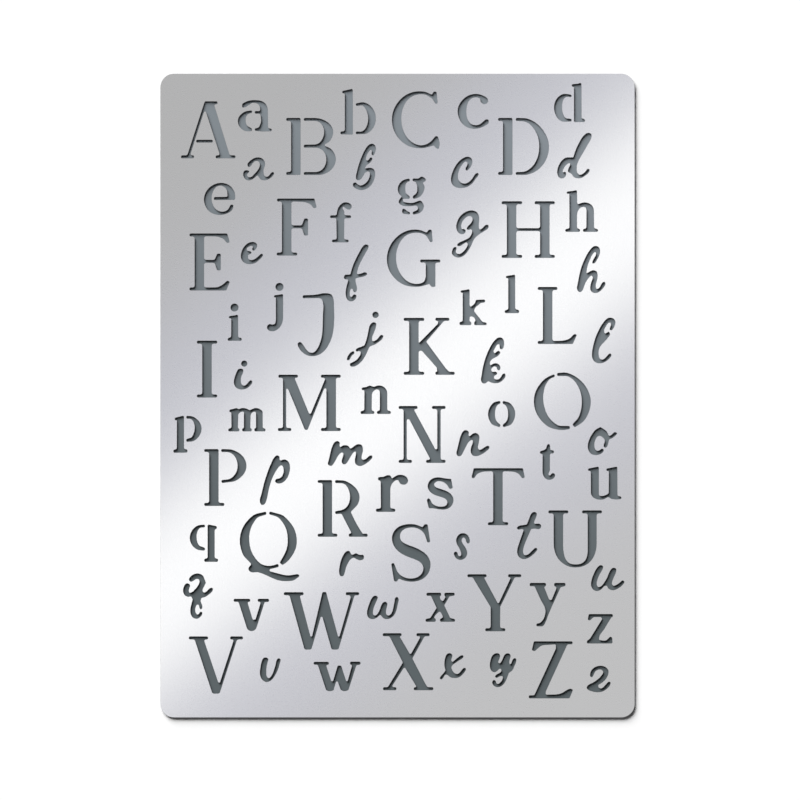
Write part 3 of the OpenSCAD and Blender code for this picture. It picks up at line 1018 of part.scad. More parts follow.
module script_r() {
    opening([
        [0.15, 0.9], [0.2, 2.4], [0.8, 5.0], [1.6, 6.6], [2.4, 7.35], [3.1, 7.3],
        [3.7, 6.2, 0.6], [4.4, 6.4], [5.0, 6.7], [5.8, 6.3], [6.5, 6.2], [7.05, 6.25],
        [7.35, 5.7], [7.1, 5.0], [6.2, 4.75], [5.2, 5.1], [4.4, 5.5], [3.7, 5.3],
        [2.8, 4.2], [2.0, 2.5], [1.6, 0.9], [1.2, 0.1], [0.5, 0.1]
    ]);
}

module script_s() {
    opening([
        [0.1, 1.4], [0.0, 2.0], [0.5, 2.4], [0.9, 2.1], [1.1, 1.4], [1.6, 1.0], [2.1, 1.3],
        [2.1, 2.2], [1.6, 3.5], [0.9, 4.7], [0.65, 5.7], [1.0, 6.9], [1.9, 7.7], [3.0, 7.8],
        [4.0, 7.2], [4.5, 6.1], [4.5, 5.2], [4.1, 4.9], [3.7, 5.3], [3.4, 6.2], [2.8, 6.7],
        [2.2, 6.2], [2.2, 5.4], [2.8, 4.3], [3.6, 3.0], [3.8, 1.8], [3.2, 0.6], [2.0, 0.05],
        [0.8, 0.4]
    ]);
}

module script_t() {
    opening([
        [5.0, 13.8], [5.7, 13.5], [5.7, 12.8], [5.1, 11.4], [4.8, 10.25, 0.6], [6.3, 10.35],
        [7.0, 9.9], [6.9, 9.2], [6.3, 8.85], [5.2, 9.0], [4.1, 8.9, 0.6], [3.4, 7.3],
        [2.4, 5.0], [1.8, 3.2], [1.7, 1.8], [2.1, 1.1], [2.9, 1.1], [3.9, 1.8], [4.9, 2.8],
        [5.5, 3.2], [5.9, 2.9], [5.6, 2.3], [4.5, 1.2], [3.2, 0.3], [1.7, 0], [0.6, 0.6],
        [0.05, 1.9], [0.4, 3.9], [1.2, 6.2], [2.1, 8.8, 0.6], [1.2, 8.85], [0.4, 8.7],
        [0, 9.1], [0.4, 9.6], [1.7, 9.9], [2.9, 10.1, 0.6], [3.6, 11.8], [4.3, 13.4]
    ]);
}

module script_u() {
    opening([
        [2.9, 7.6], [3.5, 7.3], [3.4, 6.6], [2.5, 5.0], [1.8, 3.3], [1.6, 1.9], [2.1, 1.1],
        [2.9, 1.3], [3.9, 2.4], [4.9, 4.1], [5.7, 6.0], [6.5, 6.8], [7.3, 6.6], [7.4, 6.0],
        [7.0, 4.8], [6.3, 3.2], [6.1, 2.1], [6.6, 1.5], [7.4, 1.7], [8.6, 2.5], [9.4, 3.1],
        [9.8, 2.7], [9.4, 2.0], [7.9, 0.8], [6.3, 0.3], [5.2, 0.8], [4.6, 1.65], [4.1, 1.6],
        [2.9, 0.5], [1.7, 0.05], [0.7, 0.5], [0.1, 1.6], [0.2, 3.1], [0.9, 5.1], [1.9, 6.9]
    ]);
}

module script_v() {
    opening([
        [0.05, 2.3], [0.2, 4.2], [0.6, 6.1], [1.1, 7.0], [1.9, 7.1], [2.4, 6.7], [2.2, 5.9],
        [1.9, 4.6], [1.8, 2.8], [2.0, 1.4], [2.6, 1.0], [3.4, 1.7], [4.1, 3.2], [4.7, 5.1],
        [5.1, 6.6], [5.6, 6.9], [6.0, 6.6], [5.8, 5.6], [5.2, 3.6], [4.3, 1.8], [3.1, 0.4],
        [1.8, 0], [0.7, 0.7]
    ]);
}

module script_w() {
    opening([
        [0.05, 1.5], [0.3, 3.2], [0.9, 4.9], [1.7, 6.4], [2.5, 6.8], [3.1, 6.4], [2.9, 5.7],
        [2.2, 4.1], [1.7, 2.4], [1.8, 1.2], [2.4, 0.9], [3.1, 1.4], [3.9, 2.9], [4.6, 4.6],
        [5.3, 5.0], [5.9, 4.6], [5.8, 3.7], [5.5, 2.3], [5.7, 1.2], [6.4, 0.9], [7.2, 1.5],
        [7.8, 3.2], [8.2, 5.2], [8.4, 6.2], [8.8, 6.4], [9.2, 6.0], [9.0, 4.4], [8.6, 2.6],
        [7.9, 1.1], [6.8, 0.2], [5.5, 0], [4.6, 0.5], [3.95, 1.35, 0.6], [3.4, 0.9],
        [2.5, 0.2], [1.3, 0], [0.4, 0.5]
    ]);
}

module script_x() {
    opening([
        [0.05, 0.2], [0.5, 0], [1.1, 0.7], [1.6, 1.4], [2.2, 1.4, 0.6], [3.0, 0.7],
        [4.2, 0.4], [5.6, 0.6], [6.7, 1.5], [7.5, 2.6], [7.6, 3.1], [7.2, 3.3], [6.7, 2.9],
        [6.0, 2.0], [5.2, 1.45], [4.3, 1.7], [3.6, 2.6], [3.3, 3.5], [3.7, 4.2], [4.6, 4.9],
        [5.8, 5.7], [6.7, 6.3], [6.9, 6.8], [6.5, 7.0], [5.7, 6.6], [4.5, 5.6],
        [3.6, 4.9, 0.6], [3.3, 5.5], [3.5, 6.4], [3.6, 7.1], [3.0, 7.6], [2.2, 7.4],
        [1.7, 6.5], [1.4, 4.9], [1.5, 3.4], [1.75, 2.55, 0.6], [1.1, 1.7], [0.3, 0.8]
    ]);
}

module script_y() {
    opening([
        [0, 3.2], [0.2, 4.6], [0.8, 6.1], [1.8, 6.7], [2.7, 6.5], [2.9, 5.8], [2.5, 4.7],
        [2.4, 3.9], [2.9, 3.6, 0.6], [3.5, 4.4], [4.0, 5.6], [4.6, 6.5], [5.6, 6.6],
        [6.0, 6.1], [5.8, 5.1], [5.6, 4.1], [5.85, 3.4], [6.3, 3.7], [6.6, 4.5], [7.1, 5.2],
        [7.6, 5.1], [7.7, 4.6], [7.1, 3.0], [6.4, 1.6], [5.5, 1.0, 0.6], [5.0, -0.4],
        [4.4, -1.7], [3.3, -2.9], [2.1, -3.2], [1.0, -2.6], [0.7, -1.8], [1.1, -1.2],
        [1.6, -1.5], [1.8, -2.1], [2.3, -2.4], [3.1, -1.9], [3.8, -0.8], [3.8, -0.1],
        [3.3, 0.1], [2.6, -0.1], [2.0, -0.45], [1.55, -0.2], [1.8, 0.3], [2.7, 0.8],
        [3.4, 1.4], [3.3, 2.1], [2.8, 2.25], [2.1, 1.6], [1.3, 1.2], [0.5, 1.6]
    ]);
}

module script_z() {
    opening([
        [1.0, 5.2], [1.4, 6.4], [2.4, 7.3], [4.0, 7.7], [5.5, 7.3], [6.3, 6.3], [6.1, 4.9],
        [5.2, 3.5], [4.1, 2.6], [3.3, 2.1], [3.5, 1.2], [4.3, 1.0], [5.2, 1.7], [6.0, 2.6],
        [6.5, 3.0], [6.9, 2.8], [6.8, 2.2], [5.7, 0.9], [4.5, 0.2], [3.0, 0], [1.4, 0.3],
        [0.3, 0.8], [0, 1.3], [0.4, 2.0], [1.6, 2.6], [3.1, 3.6], [4.4, 4.9], [4.9, 5.9],
        [4.4, 6.6], [3.4, 6.7], [2.4, 6.1], [1.9, 5.1], [1.5, 4.45], [1.1, 4.6]
    ]);
}

// A round dot over i and j.
module dot(r) circle(r = r + spread, $fn = 40);

// Layout
//
// Every letter's place is measured from the centre of the plate, for a plate
// of 140 by 190. A wider or higher plate spreads the letters out.

module at(x, y) translate([x * field_x, y * field_y]) scale(grow) children();

module capitals() {
    at(-63.9, 70.1) cap_a();
    at(-32.9, 65.2) cap_b();
    at(-1.6, 73.1) cap_c();
    at(29.7, 65.2) cap_d();
    at(-61.6, 31.1) cap_e();
    at(-35.6, 41.4) cap_f();
    at(-3.1, 32.2) cap_g();
    at(30.8, 40.7) cap_h();
    at(-59.2, -0.5) cap_i();
    at(-29.4, 13.5) cap_j();
    at(1.9, 6.2) cap_k();
    at(41.5, 15.3) cap_l();
    at(-35.3, -10.4) cap_m();
    at(0.4, -19.8) cap_n();
    at(40.3, -10.0) cap_o();
    at(-57.1, -32.5) cap_p();
    at(-46.5, -50.9) cap_q();
    at(-23.5, -41.6) cap_r();
    at(-1.9, -54.7) cap_s();
    at(22.0, -38.2) cap_t();
    at(44.4, -50.6) cap_u();
    at(-61.6, -87.8) cap_v();
    at(-33.5, -74.6) cap_w();
    at(-4.3, -86.9) cap_x();
    at(20.5, -69.5) cap_y();
    at(38.8, -89.3) cap_z();
}

module small_letters() {
    at(-47.1, 78.0) small_a();
    at(-17.0, 77.1) small_b();
    at(17.8, 78.8) small_c();
    at(46.2, 80.8) small_d();
    at(-57.1, 53.5) small_e();
    at(-19.9, 45.0) small_f();
    at(0.1, 58.0) small_g();
    at(49.7, 48.3) small_h();
    at(-50.0, 16.1) small_i();
    at(-38.5, 21.7) small_j();
    at(18.4, 20.8) small_k();
    at(31.7, 24.4) small_l();
    at(-49.8, -10.7) small_m();
    at(-10.8, -5.4) small_n();
    at(26.7, -9.1) small_o();
    at(-66.0, -13.7) small_p();
    at(-61.3, -45.6) small_q();
    at(-6.4, -34.4) small_r();
    at(8.7, -33.6) small_s();
    at(42.0, -24.6) small_t();
    at(56.2, -30.5) small_u();
    at(-48.3, -69.3) small_v();
    at(-24.7, -87.1) small_w();
    at(8.4, -66.8) small_x();
    at(39.1, -65.1) small_y();
    at(55.9, -73.3) small_z();
}

module script_letters() {
    at(-45.6, 63.6) script_a();
    at(-13.2, 63.6) script_b();
    at(15.8, 61.3) script_c();
    at(47.1, 64.2) script_d();
    at(-46.2, 38.8) script_e();
    at(-15.8, 32.9) script_f();
    at(16.1, 47.4) script_g();
    at(53.0, 30.3) script_h();
    at(-48.3, 1.9) script_i();
    at(-14.9, 13.5) script_j();
    at(24.6, 3.7) script_k();
    at(57.4, 9.6) script_l();
    at(-20.5, -20.8) script_m();
    at(17.5, -17.8) script_n();
    at(56.2, -17.5) script_o();
    at(-40.6, -26.1) script_p();
    at(-63.3, -60.3) script_q();
    at(-17.3, -53.3) script_r();
    at(16.7, -48.5) script_s();
    at(35.3, -48.2) script_t();
    at(57.1, -57.7) script_u();
    at(-40.6, -84.5) script_v();
    at(-9.0, -65.9) script_w();
    at(12.5, -83.7) script_x();
    at(27.3, -82.8) script_y();
    at(55.9, -87.5) script_z();
}

// The plate
//
// A sheet with four rounded corners and the three alphabets cut through it.

module blank() {
    square([plate_w - 2 * corner_r, plate_h], center = true);
    square([plate_w, plate_h - 2 * corner_r], center = true);
    for (x = [-1, 1], y = [-1, 1])
        translate([x * (plate_w / 2 - corner_r), y * (plate_h / 2 - corner_r)])
            circle(r = corner_r, $fn = 64);
}

module stencil_plate() {
    color([0.72, 0.73, 0.75])
        linear_extrude(height = plate_t)
            difference() {
                blank();
                union() {
                    capitals();
                    small_letters();
                    script_letters();
                }
            }
}

stencil_plate();
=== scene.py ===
# %% [markdown]
# # A steel lettering stencil
#
# The object is one thin sheet of satin steel. Three alphabets are cut through
# it: large capitals, small upright letters and small script letters. It lies
# flat, and you draw or paint through the letters.
#
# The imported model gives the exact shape. This lesson breaks the sharp edges,
# makes the steel and the cut walls, and lights the plate like a photograph.

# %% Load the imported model
import math

import bpy
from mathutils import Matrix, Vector


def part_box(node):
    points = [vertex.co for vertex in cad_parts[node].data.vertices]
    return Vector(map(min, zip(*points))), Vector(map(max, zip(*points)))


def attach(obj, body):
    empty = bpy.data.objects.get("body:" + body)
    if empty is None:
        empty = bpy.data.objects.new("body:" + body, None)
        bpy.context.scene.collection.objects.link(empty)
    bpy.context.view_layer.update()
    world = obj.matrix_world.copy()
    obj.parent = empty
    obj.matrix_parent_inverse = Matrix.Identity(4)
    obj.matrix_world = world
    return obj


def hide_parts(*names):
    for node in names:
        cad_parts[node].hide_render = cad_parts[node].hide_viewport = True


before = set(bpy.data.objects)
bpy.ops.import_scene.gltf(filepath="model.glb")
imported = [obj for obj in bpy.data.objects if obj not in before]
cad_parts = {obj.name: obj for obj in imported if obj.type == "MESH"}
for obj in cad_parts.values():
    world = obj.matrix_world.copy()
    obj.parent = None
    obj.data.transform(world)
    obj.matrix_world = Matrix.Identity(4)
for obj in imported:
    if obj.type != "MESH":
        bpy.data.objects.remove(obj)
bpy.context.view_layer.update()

# %% [markdown]
# ## The camera comes first
#
# The photograph is taken from straight above, and the plate shows no
# perspective, so the lens must be long and far away. A 300 mm lens at about
# 2 m does that. The picture is 800 pixels wide, and the plate covers 474 of
# them, so one pixel is about 0.3 mm on the plate's face.
#
# The plate isn't quite in the middle of the picture, so the camera stands a
# millimetre to the side. Moving it is better than turning it, because a turned
# camera would make one side of the plate look longer.

# %% Camera
PLATE_LOW, PLATE_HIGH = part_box("stencil_plate")
THICKNESS = PLATE_HIGH.z - PLATE_LOW.z
LENS = 300.0
SENSOR = 36.0
PICTURE = 800
PLATE_IN_PICTURE = 474.3
PIXEL = (PLATE_HIGH.x - PLATE_LOW.x) / PLATE_IN_PICTURE
MIDDLE_PIXEL = (397.55, 395.6)

camera_data = bpy.data.cameras.new("camera")
camera_data.lens = LENS
camera_data.sensor_width = SENSOR
camera_data.clip_start = 0.05
camera_data.clip_end = 50
camera = bpy.data.objects.new("camera", camera_data)
bpy.context.scene.collection.objects.link(camera)
distance = PICTURE * PIXEL * LENS / SENSOR
camera.location = (
    (PICTURE / 2 - MIDDLE_PIXEL[0]) * PIXEL,
    (MIDDLE_PIXEL[1] - PICTURE / 2) * PIXEL,
    THICKNESS + distance,
)
bpy.context.scene.camera = camera
print("camera height in metres:", round(camera.location.z, 4))

# %% [markdown]
# ## Selecting with code
#
# Operators work on what is selected, as they do under a mouse. Loading the
# model leaves its pieces selected, so each step first clears the selection and
# then picks one object. Faces and edges are picked by their place or by the
# way they face.

# %% Small helpers for selecting
def only(obj):
    """Selects one object and makes it the active one."""
    bpy.ops.object.select_all(action="DESELECT")
    obj.select_set(True)
    bpy.context.view_layer.objects.active = obj
    return obj


def pick(obj, kind, test):
    """In edit mode, selects the faces or edges of obj that pass the test."""
    bpy.ops.mesh.select_mode(type=kind)
    bpy.ops.mesh.select_all(action="DESELECT")
    bpy.ops.object.mode_set(mode="OBJECT")
    items = obj.data.polygons if kind == "FACE" else obj.data.edges
    found = [item for item in items if test(item)]
    for item in found:
        item.select = True
    bpy.ops.object.mode_set(mode="EDIT")
    return len(found)


# %% [markdown]
# ## The outline of the plate
#
# A real cutter leaves edges that are sharp enough to hurt, so a stencil is
# brushed or tumbled until its edges are just broken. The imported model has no
# such rounding, so its plate is replaced by one that has.
#
# A bevel modifier would trip over the long thin triangles between the letters.
# A flat curve does it better: Blender fills it, gives it a thickness and
# rounds its rims in one go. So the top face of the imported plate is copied, and
# only its border is kept, which is 99 closed loops.
#
# The loops are made a thousand times larger for this step, because Blender's
# fill takes points closer than 0.03 of its units for one point.

# %% Take the border loops of the top face
MILLIMETRES = 1000.0
SAME_POINT = 0.002  # millimetres between points that are one point
LEVEL = 0.999  # height of the normal of a face that looks straight up

cad_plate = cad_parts["stencil_plate"]
plate = bpy.data.objects.new("steel_plate", cad_plate.data.copy())
bpy.context.scene.collection.objects.link(plate)
only(plate)
plate.scale = (MILLIMETRES,) * 3
bpy.ops.object.transform_apply(location=False, rotation=False, scale=True)

bpy.ops.object.mode_set(mode="EDIT")
bpy.ops.mesh.select_all(action="SELECT")
bpy.ops.mesh.remove_doubles(threshold=SAME_POINT)
faces_on_top = pick(plate, "FACE", lambda face: face.normal.z > LEVEL)
bpy.ops.mesh.region_to_loop()
bpy.ops.mesh.duplicate()
bpy.ops.mesh.separate(type="SELECTED")
bpy.ops.object.mode_set(mode="OBJECT")
outline = next(o for o in bpy.context.selected_objects if o is not plate)
bpy.data.objects.remove(plate)
print("faces on top:", faces_on_top, " edges of the border:", len(outline.data.edges))

# %% [markdown]
# ## Thickness and broken edges
#
# The loops become a flat curve. Its extrude gives half of the thickness each
# way, its bevel adds the rounding, and a negative offset pulls the outline in
# by the same amount, so that the plate keeps its size. Converted back to a
# mesh, the caps, rims and walls are merged into one closed skin.

# %% Turn the loops into a plate with broken edges
EDGE_RADIUS = 0.03  # millimetres

only(outline)
bpy.ops.object.convert(target="CURVE")
curve = outline.data
curve.dimensions = "2D"
curve.fill_mode = "BOTH"
curve.bevel_depth = EDGE_RADIUS
curve.bevel_resolution = 1
curve.offset = -EDGE_RADIUS
curve.extrude = THICKNESS * MILLIMETRES / 2 - EDGE_RADIUS
closed = sum(spline.use_cyclic_u for spline in curve.splines)
print("loops:", len(curve.splines), " closed loops:", closed)

bpy.ops.object.convert(target="MESH")
plate = bpy.context.view_layer.objects.active
plate.name = "steel_plate"
plate.data.name = "steel_plate"
bpy.ops.object.mode_set(mode="EDIT")
bpy.ops.mesh.select_all(action="SELECT")
bpy.ops.mesh.remove_doubles(threshold=SAME_POINT)
bpy.ops.mesh.normals_make_consistent(inside=False)
bpy.ops.mesh.select_mode(type="EDGE")
bpy.ops.mesh.select_all(action="DESELECT")
bpy.ops.mesh.select_non_manifold()
bpy.ops.object.mode_set(mode="OBJECT")
open_edges = sum(edge.select for edge in plate.data.edges)
plate.data.calc_loop_triangles()
triangles = len(plate.data.loop_triangles)
print("faces:", len(plate.data.polygons), " triangles:", triangles, " open edges:", open_edges)

plate.location = (0, 0, THICKNESS / 2)
plate.scale = (1 / MILLIMETRES,) * 3
only(plate)
bpy.ops.object.transform_apply(location=True, rotation=False, scale=True)
print("size in mm:", [round(side * MILLIMETRES, 3) for side in plate.dimensions])

# %% [markdown]
# ## Smooth walls, flat faces
#
# The walls follow the curves of the letters in short flat steps. Smooth shading
# hides the steps, but it must not run over onto the two large faces, which are
# dead flat. So the border of each large face is marked sharp first, and then
# everything that turns by less than 50 degrees is shaded smooth.

# %% Shade the plate
SMOOTH_TURN = math.radians(50)

only(plate)
bpy.ops.object.mode_set(mode="EDIT")
level_faces = pick(plate, "FACE", lambda face: abs(face.normal.z) > LEVEL)
bpy.ops.mesh.region_to_loop()
bpy.ops.mesh.mark_sharp()
bpy.ops.object.mode_set(mode="OBJECT")
bpy.ops.object.shade_smooth_by_angle(angle=SMOOTH_TURN, keep_sharp_edges=True)
print("faces that lie level:", level_faces)

# %% [markdown]
# ## Writing shader maths as sums
#
# A material is a tree of nodes. Maths on it is easier to read as sums, so one
# small class wraps a socket: adding or multiplying two of them makes the Math
# node that does it. Every other node is made by one method, which takes the
# kind of node, its settings and what goes into its sockets.

# %% A socket that can be used in sums
class Wire:
    """The output of a node. Sums of wires make Math nodes."""

    def __init__(self, tree, socket):
        self.tree = tree
        self.socket = socket

    def maths(self, operation, first, second):
        return self.tree.add("ShaderNodeMath", {"operation": operation}, {0: first, 1: second})

    def __add__(self, other):
        return self.maths("ADD", self, other)

    def __radd__(self, other):
        return self.maths("ADD", other, self)

    def __sub__(self, other):
        return self.maths("SUBTRACT", self, other)

    def __rsub__(self, other):
        return self.maths("SUBTRACT", other, self)

    def __mul__(self, other):
        return self.maths("MULTIPLY", self, other)

    def __rmul__(self, other):
        return self.maths("MULTIPLY", other, self)


class Tree:
    """The nodes of a material or of the world."""

    def __init__(self, owner):
        owner.use_nodes = True
        self.owner = owner
        self.nodes = owner.node_tree.nodes
        self.links = owner.node_tree.links
        self.nodes.clear()

    def add(self, kind, settings=None, inputs=None, out=0):
        """Makes a node, sets it up, fills its sockets and returns one output."""
        node = self.nodes.new(kind)
        for name, value in (settings or {}).items():
            if name == "stops":
                for stop, (place, tone) in zip(node.color_ramp.elements, value):
                    stop.position = place
                    stop.color = (tone, tone, tone, 1)
            else:
                setattr(node, name, value)
        for name, value in (inputs or {}).items():
            if isinstance(value, Wire):
                self.links.new(value.socket, node.inputs[name])
            else:
                node.inputs[name].default_value = value
        return Wire(self, node.outputs[out]) if len(node.outputs) else node

    def noise(self, place, scale, detail=2.0, roughness=0.5):
        """Cloudy noise from 0 to 1, with that many clouds to the metre."""
        return self.add(
            "ShaderNodeTexNoise",
            {"noise_dimensions": "3D"},
            {"Vector": place, "Scale": scale, "Detail": detail, "Roughness": roughness},
        )

    def stretched(self, place, x, y, z):
        """The same place with each axis multiplied."""
        return self.add(
            "ShaderNodeMapping", {"vector_type": "POINT"}, {"Vector": place, "Scale": (x, y, z)}
        )

    def ramp(self, value, low, high):
        """0 at low, 1 at high, a straight slope between them and level beyond."""
        return self.add("ShaderNodeMapRange", {"clamp": True}, {0: value, 1: low, 2: high})

    def blend(self, share, first, second):
        """The first colour, going over to the second with the share."""
        return self.add(
            "ShaderNodeMix",
            {"data_type": "RGBA", "blend_type": "MIX"},
            {0: share, 6: (*first, 1), 7: (*second, 1)},
            out=2,
        )


def new_material(name):
    """A material with an empty tree."""
    return Tree(bpy.data.materials.new(name))


# %% [markdown]
# ## Satin steel
#
# The face of the real plate is stainless steel with a satin finish. It is
# neither polished nor brushed: a very fine grain of about a fifth of a
# millimetre breaks up its shine, so a bright window becomes a wide soft band.
# Rolling leaves faint streaks along the sheet, and hands leave wide patches
# that are a touch duller.
#
# A flat grey with one roughness would look like plastic. Three noises do it
# instead. The finest one moves the surface up and down by a micrometre or two,
# and all three nudge the roughness and the colour by a few hundredths.

# %% Material of the two faces
STEEL_DARK = (0.42, 0.42, 0.42)
STEEL_PALE = (0.47, 0.47, 0.475)
GRAINS = 4800.0  # to the metre, as all these are
STREAKS = (900, 22, 900)
PATCHES = 26.0
PIT_DEPTH = 0.000004

steel = new_material("satin_steel")
place = steel.add("ShaderNodeTexCoord", out="Object")
grain = steel.noise(place, GRAINS, detail=3.0, roughness=0.6)
streaks = steel.noise(steel.stretched(place, *STREAKS), 1.0)
patches = steel.noise(place, PATCHES, detail=3.0, roughness=0.55)

tone = 0.5 + (grain - 0.5) * 0.35 + (streaks - 0.5) * 0.06 + (patches - 0.5) * 0.12
dullness = 0.28 + (grain - 0.5) * 0.06 + (streaks - 0.5) * 0.008 + (patches - 0.5) * 0.014
pits = steel.add(
    "ShaderNodeBump", {}, {"Strength": 0.22, "Distance": PIT_DEPTH, "Height": grain}
)
shader = steel.add(
    "ShaderNodeBsdfPrincipled",
    {},
    {
        "Base Color": steel.blend(tone, STEEL_DARK, STEEL_PALE),
        "Metallic": 1.0,
        "Roughness": dullness,
        "Normal": pits,
    },
)
steel.add("ShaderNodeOutputMaterial", {}, {"Surface": shader})
print("nodes in the satin steel:", len(steel.nodes))

# %% [markdown]
# ## The cut walls
#
# A cutter leaves the walls of the letters rougher and darker than the faces,
# with fine upright lines where it moved on step by step. They show only from
# the side, as a thin dark line round each letter. The broken edges get the same
# finish: as bright as the faces, they would sparkle round every letter.
#
# The lines are noise that is stretched ten times along the thickness. It reads
# all three axes, so it works on walls that face any way.

# %% Material of the walls and the broken edges
WALL_DARK = (0.10, 0.10, 0.105)
WALL_PALE = (0.26, 0.26, 0.265)
LINES = (9000, 9000, 900)  # to the metre along x, y and z
SPECKS = 3000.0
LINE_DEPTH = 0.00001

wall = new_material("cut_wall")
place = wall.add("ShaderNodeTexCoord", out="Object")
lines = wall.noise(wall.stretched(place, *LINES), 1.0, detail=3.0, roughness=0.6)
specks = wall.noise(place, SPECKS)
tone = wall.ramp(lines * 0.7 + specks * 0.3, 0.3, 0.7)
grooves = wall.add(
    "ShaderNodeBump", {}, {"Strength": 0.6, "Distance": LINE_DEPTH, "Height": lines}
)
shader = wall.add(
    "ShaderNodeBsdfPrincipled",
    {},
    {
        "Base Color": wall.blend(tone, WALL_DARK, WALL_PALE),
        "Metallic": 1.0,
        "Roughness": 0.55 + (lines - 0.5) * 0.3,
        "Normal": grooves,
    },
)
wall.add("ShaderNodeOutputMaterial", {}, {"Surface": shader})
print("nodes in the cut wall:", len(wall.nodes))

# %% Give each face of the plate its material
plate.data.materials.clear()
plate.data.materials.append(steel.owner)
plate.data.materials.append(wall.owner)
for face in plate.data.polygons:
    face.material_index = 0 if abs(face.normal.z) > LEVEL else 1
walls = sum(face.material_index for face in plate.data.polygons)
print("wall faces:", walls, " of", len(plate.data.polygons))

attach(plate, "root")
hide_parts("stencil_plate")

# %% [markdown]
# ## What it lies on
#
# Through the letters the photograph shows a slate grey, and round the plate it
# shows pure white. So the plate lies on a slate-coloured board that is a
# little smaller than the plate, and the board lies on a white floor. The board
# also lifts the plate, which gives it the soft shadow on two sides.
#
# Both are staging and no part of the stencil. The board is a cube that is
# scaled, with its four upright edges bevelled.

# %% The slate board
BOARD_THICKNESS = 0.0003
BOARD_INSET = 0.0016
BOARD_CORNER = 0.003
TOUCH = 0.00001

width = PLATE_HIGH.x - PLATE_LOW.x - 2 * BOARD_INSET
length = PLATE_HIGH.y - PLATE_LOW.y - 2 * BOARD_INSET
bpy.ops.mesh.primitive_cube_add(size=1, location=(0, 0, -TOUCH - BOARD_THICKNESS / 2))
board = only(bpy.context.active_object)
board.name = "slate_board"
board.scale = (width, length, BOARD_THICKNESS)
bpy.ops.object.transform_apply(location=True, rotation=False, scale=True)
bpy.ops.object.mode_set(mode="EDIT")


def upright(edge):
    """True for an edge of the board that runs up and down."""
    low, high = (board.data.vertices[i].co for i in edge.vertices)
    return abs(low.z - high.z) > BOARD_THICKNESS / 2


corners = pick(board, "EDGE", upright)
bpy.ops.mesh.bevel(offset=BOARD_CORNER, segments=10, affect="EDGES")
bpy.ops.object.mode_set(mode="OBJECT")
print("corners of the board:", corners, " faces:", len(board.data.polygons))

# %% [markdown]
# ## The tone of the board, with painted light and shade
#
# The board is paler at the top of the picture than at its foot, as if the light
# came from there. One soft lamp can't do that over so short a way, so that light
# and shade is painted into the board's colour: the colour follows the place up
# the board, and a little to the right, and a fine noise makes it look like card.

# %% Material of the board
# Painted light and shade: a lit slate tone for the top of the board and a shaded one for its
# foot.
SLATE_PAINTED_LIT = (0.229, 0.257, 0.281)
SLATE_PAINTED_SHADE = (0.104, 0.122, 0.129)
UP_THE_BOARD = (0.2, 1.0, 0.0)
FADE_FROM = 0.085
FADE_TO = -0.05
FIBRES = 2500.0

slate = new_material("slate_board")
place = slate.add("ShaderNodeTexCoord", out="Object")
height = slate.add(
    "ShaderNodeVectorMath", {"operation": "DOT_PRODUCT"}, {0: place, 1: UP_THE_BOARD}, out="Value"
)
fibre = slate.noise(place, FIBRES)
# Painted light: the colour goes from the lit tone over to the shaded tone along the board.
painted_light_fade = slate.ramp(height, FADE_FROM, FADE_TO) + (fibre - 0.5) * 0.06
shader = slate.add(
    "ShaderNodeBsdfPrincipled",
    {},
    {
        "Base Color": slate.blend(painted_light_fade, SLATE_PAINTED_LIT, SLATE_PAINTED_SHADE),
        "Roughness": 0.9,
        "Specular IOR Level": 0.1,
    },
)
slate.add("ShaderNodeOutputMaterial", {}, {"Surface": shader})
print("nodes in the slate:", len(slate.nodes))
board.data.materials.append(slate.owner)

# %% The white floor
FLOOR_SIZE = 8.0
FLOOR_WHITE = (0.97, 0.97, 0.97, 1)

bpy.ops.mesh.primitive_plane_add(size=FLOOR_SIZE, location=(0, 0, -TOUCH - BOARD_THICKNESS))
floor = only(bpy.context.active_object)
floor.name = "floor"
bpy.ops.object.transform_apply(location=True, rotation=False, scale=False)
white = new_material("white_floor")
shader = white.add(
    "ShaderNodeBsdfPrincipled",
    {},
    {"Base Color": FLOOR_WHITE, "Roughness": 0.95, "Specular IOR Level": 0.0},
)
white.add("ShaderNodeOutputMaterial", {}, {"Surface": shader})
floor.data.materials.append(white.owner)
print("height of the floor in mm:", round(floor.data.vertices[0].co.z * MILLIMETRES, 3))

# %% [markdown]
# ## The light
#
# Steel has hardly any tone of its own. It shows its surroundings, blurred by
# the satin finish, so they are built with as much care as the plate.
#
# 1. A sun lamp from the upper left lights the board and the floor. It is low
#    enough that the rim of each letter throws a narrow shadow into it, and its
#    angle makes the shadows soft. The steel doesn't mirror it. Otherwise the
#    whole plate would flash white for a camera in front of it on the right.
# 2. Four panels hang over the plate. A long bright one, like a window, is
#    mirrored as a broad band from the lower left to the upper right. A faint
#    bluish one on each side of it, like the sky, gives the flanks of the band
#    their cool tint. A wide faint one beyond them makes the lower right corner
#    of the plate a touch paler. They hang side by side, because a panel hides
#    what is behind it.
# 3. A white room all round gives the steel the rest of its grey.

# %% Even light from the upper left
SUN_SIDE = (0.52, -0.855)
SUN_HEIGHT = 27.0
SUN_SOFTNESS = 44.0
SUN_STRENGTH = 6.8

sun_data = bpy.data.lights.new("even_light", "SUN")
sun_data.energy = SUN_STRENGTH
sun_data.angle = math.radians(SUN_SOFTNESS)
sun = bpy.data.objects.new("even_light", sun_data)
bpy.context.scene.collection.objects.link(sun)
sun.visible_glossy = False
drop = math.hypot(*SUN_SIDE) * math.tan(math.radians(SUN_HEIGHT))
towards = Vector((*SUN_SIDE, -drop))
sun.rotation_mode = "QUATERNION"
sun.rotation_quaternion = towards.to_track_quat("-Z", "Y")
print("the sun shines along:", [round(part, 3) for part in towards.normalized()])

# %% Panels over the plate
PANEL_HEIGHT = 0.15
PANEL_LENGTH = 0.7
PANEL_SPREAD = math.radians(130)
BAND_TURN = 38.4
BAND_CENTRE = (0.0007, -0.0060)


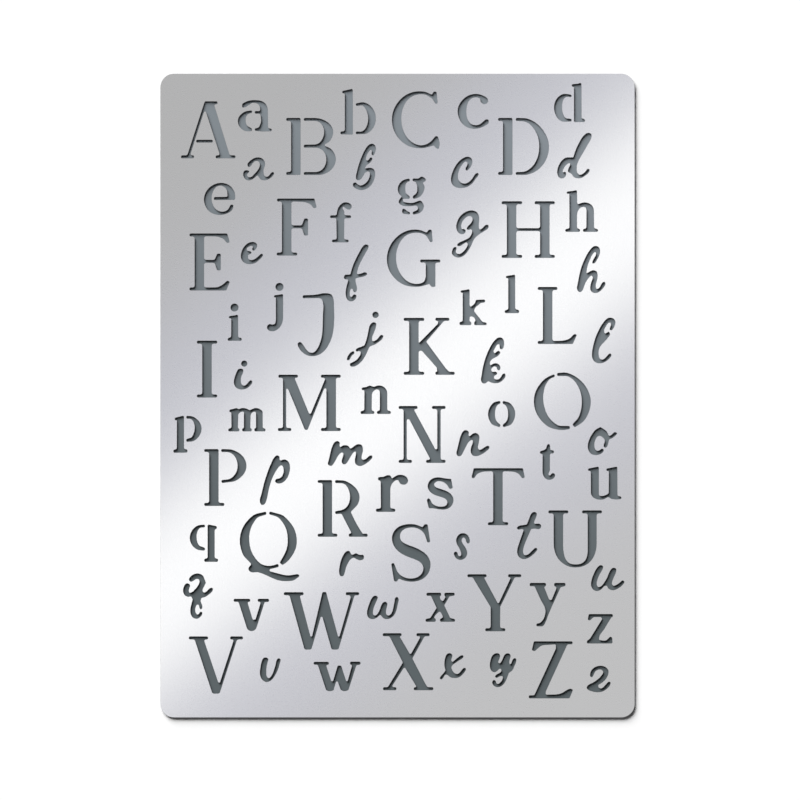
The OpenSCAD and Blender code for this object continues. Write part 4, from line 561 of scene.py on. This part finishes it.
def panel(name, start, end, colour):
    """A flat panel along the band, from start to end across it, of that brightness."""
    data = bpy.data.lights.new(name, "AREA")
    data.shape = "RECTANGLE"
    data.size = PANEL_LENGTH
    data.size_y = end - start
    data.energy = math.pi * data.size * data.size_y
    data.spread = PANEL_SPREAD
    data.color = colour
    lamp = bpy.data.objects.new(name, data)
    bpy.context.scene.collection.objects.link(lamp)
    turn = math.radians(BAND_TURN)
    middle = (start + end) / 2
    lamp.location = (
        BAND_CENTRE[0] + math.sin(turn) * middle,
        BAND_CENTRE[1] - math.cos(turn) * middle,
        PANEL_HEIGHT,
    )
    lamp.rotation_euler = (0, 0, turn)
    lamp.visible_camera = False
    lamp.visible_diffuse = False
    print(name, "width in mm:", round((end - start) * MILLIMETRES, 1))


panel("upper_sky", -0.070, -0.0255, (0.069, 0.075, 0.143))
panel("window", -0.0255, 0.0195, (0.853, 0.857, 0.846))
panel("lower_sky", 0.0195, 0.062, (0.088, 0.091, 0.156))
panel("pale_wall", 0.062, 0.31, (0.091, 0.091, 0.091))

# %% [markdown]
# ## The room
#
# The world can look different to each kind of ray. The camera sees a plain
# white room, and the steel mirrors the same white. The board and the floor get
# little light from it, so that the shadows stay dark.
#
# One more thing keeps the shadows dark. Without it, the steel walls of a letter
# would mirror the white room down onto the board. So the white is switched off
# for a ray that has already left a dull surface.

# %% The white room
ROOM_ON_PAPER = 0.08

world = bpy.data.worlds.new("white_room")
bpy.context.scene.world = world
room = Tree(world)
rays = room.nodes.new("ShaderNodeLightPath")


def seen_by(name):
    """What Blender knows about a ray, such as 1 for one from the camera."""
    return Wire(room, rays.outputs[name])


def light(level):
    """Even white light of that level."""
    return room.add("ShaderNodeBackground", {}, {"Color": (1, 1, 1, 1), "Strength": level})


mirrored = seen_by("Is Glossy Ray") * (1 - seen_by("Diffuse Depth"))
white_for = seen_by("Is Camera Ray") + seen_by("Is Transmission Ray") + mirrored
shown = room.add(
    "ShaderNodeMixShader", {}, {0: white_for, 1: light(ROOM_ON_PAPER), 2: light(1.0)}
)
room.add("ShaderNodeOutputWorld", {}, {"Surface": shown})
print("nodes in the room:", len(room.nodes))

# %% [markdown]
# ## Plain colours and the same size
#
# The Standard view shows a colour as it was written. The other views bend the
# tones, which would turn the white floor grey.
#
# Breaking the edges must not change the size, because the plate has to fit what
# was made for it. The size of the finished plate is printed where it is made.

# %% Finish
bpy.context.scene.view_settings.view_transform = "Standard"
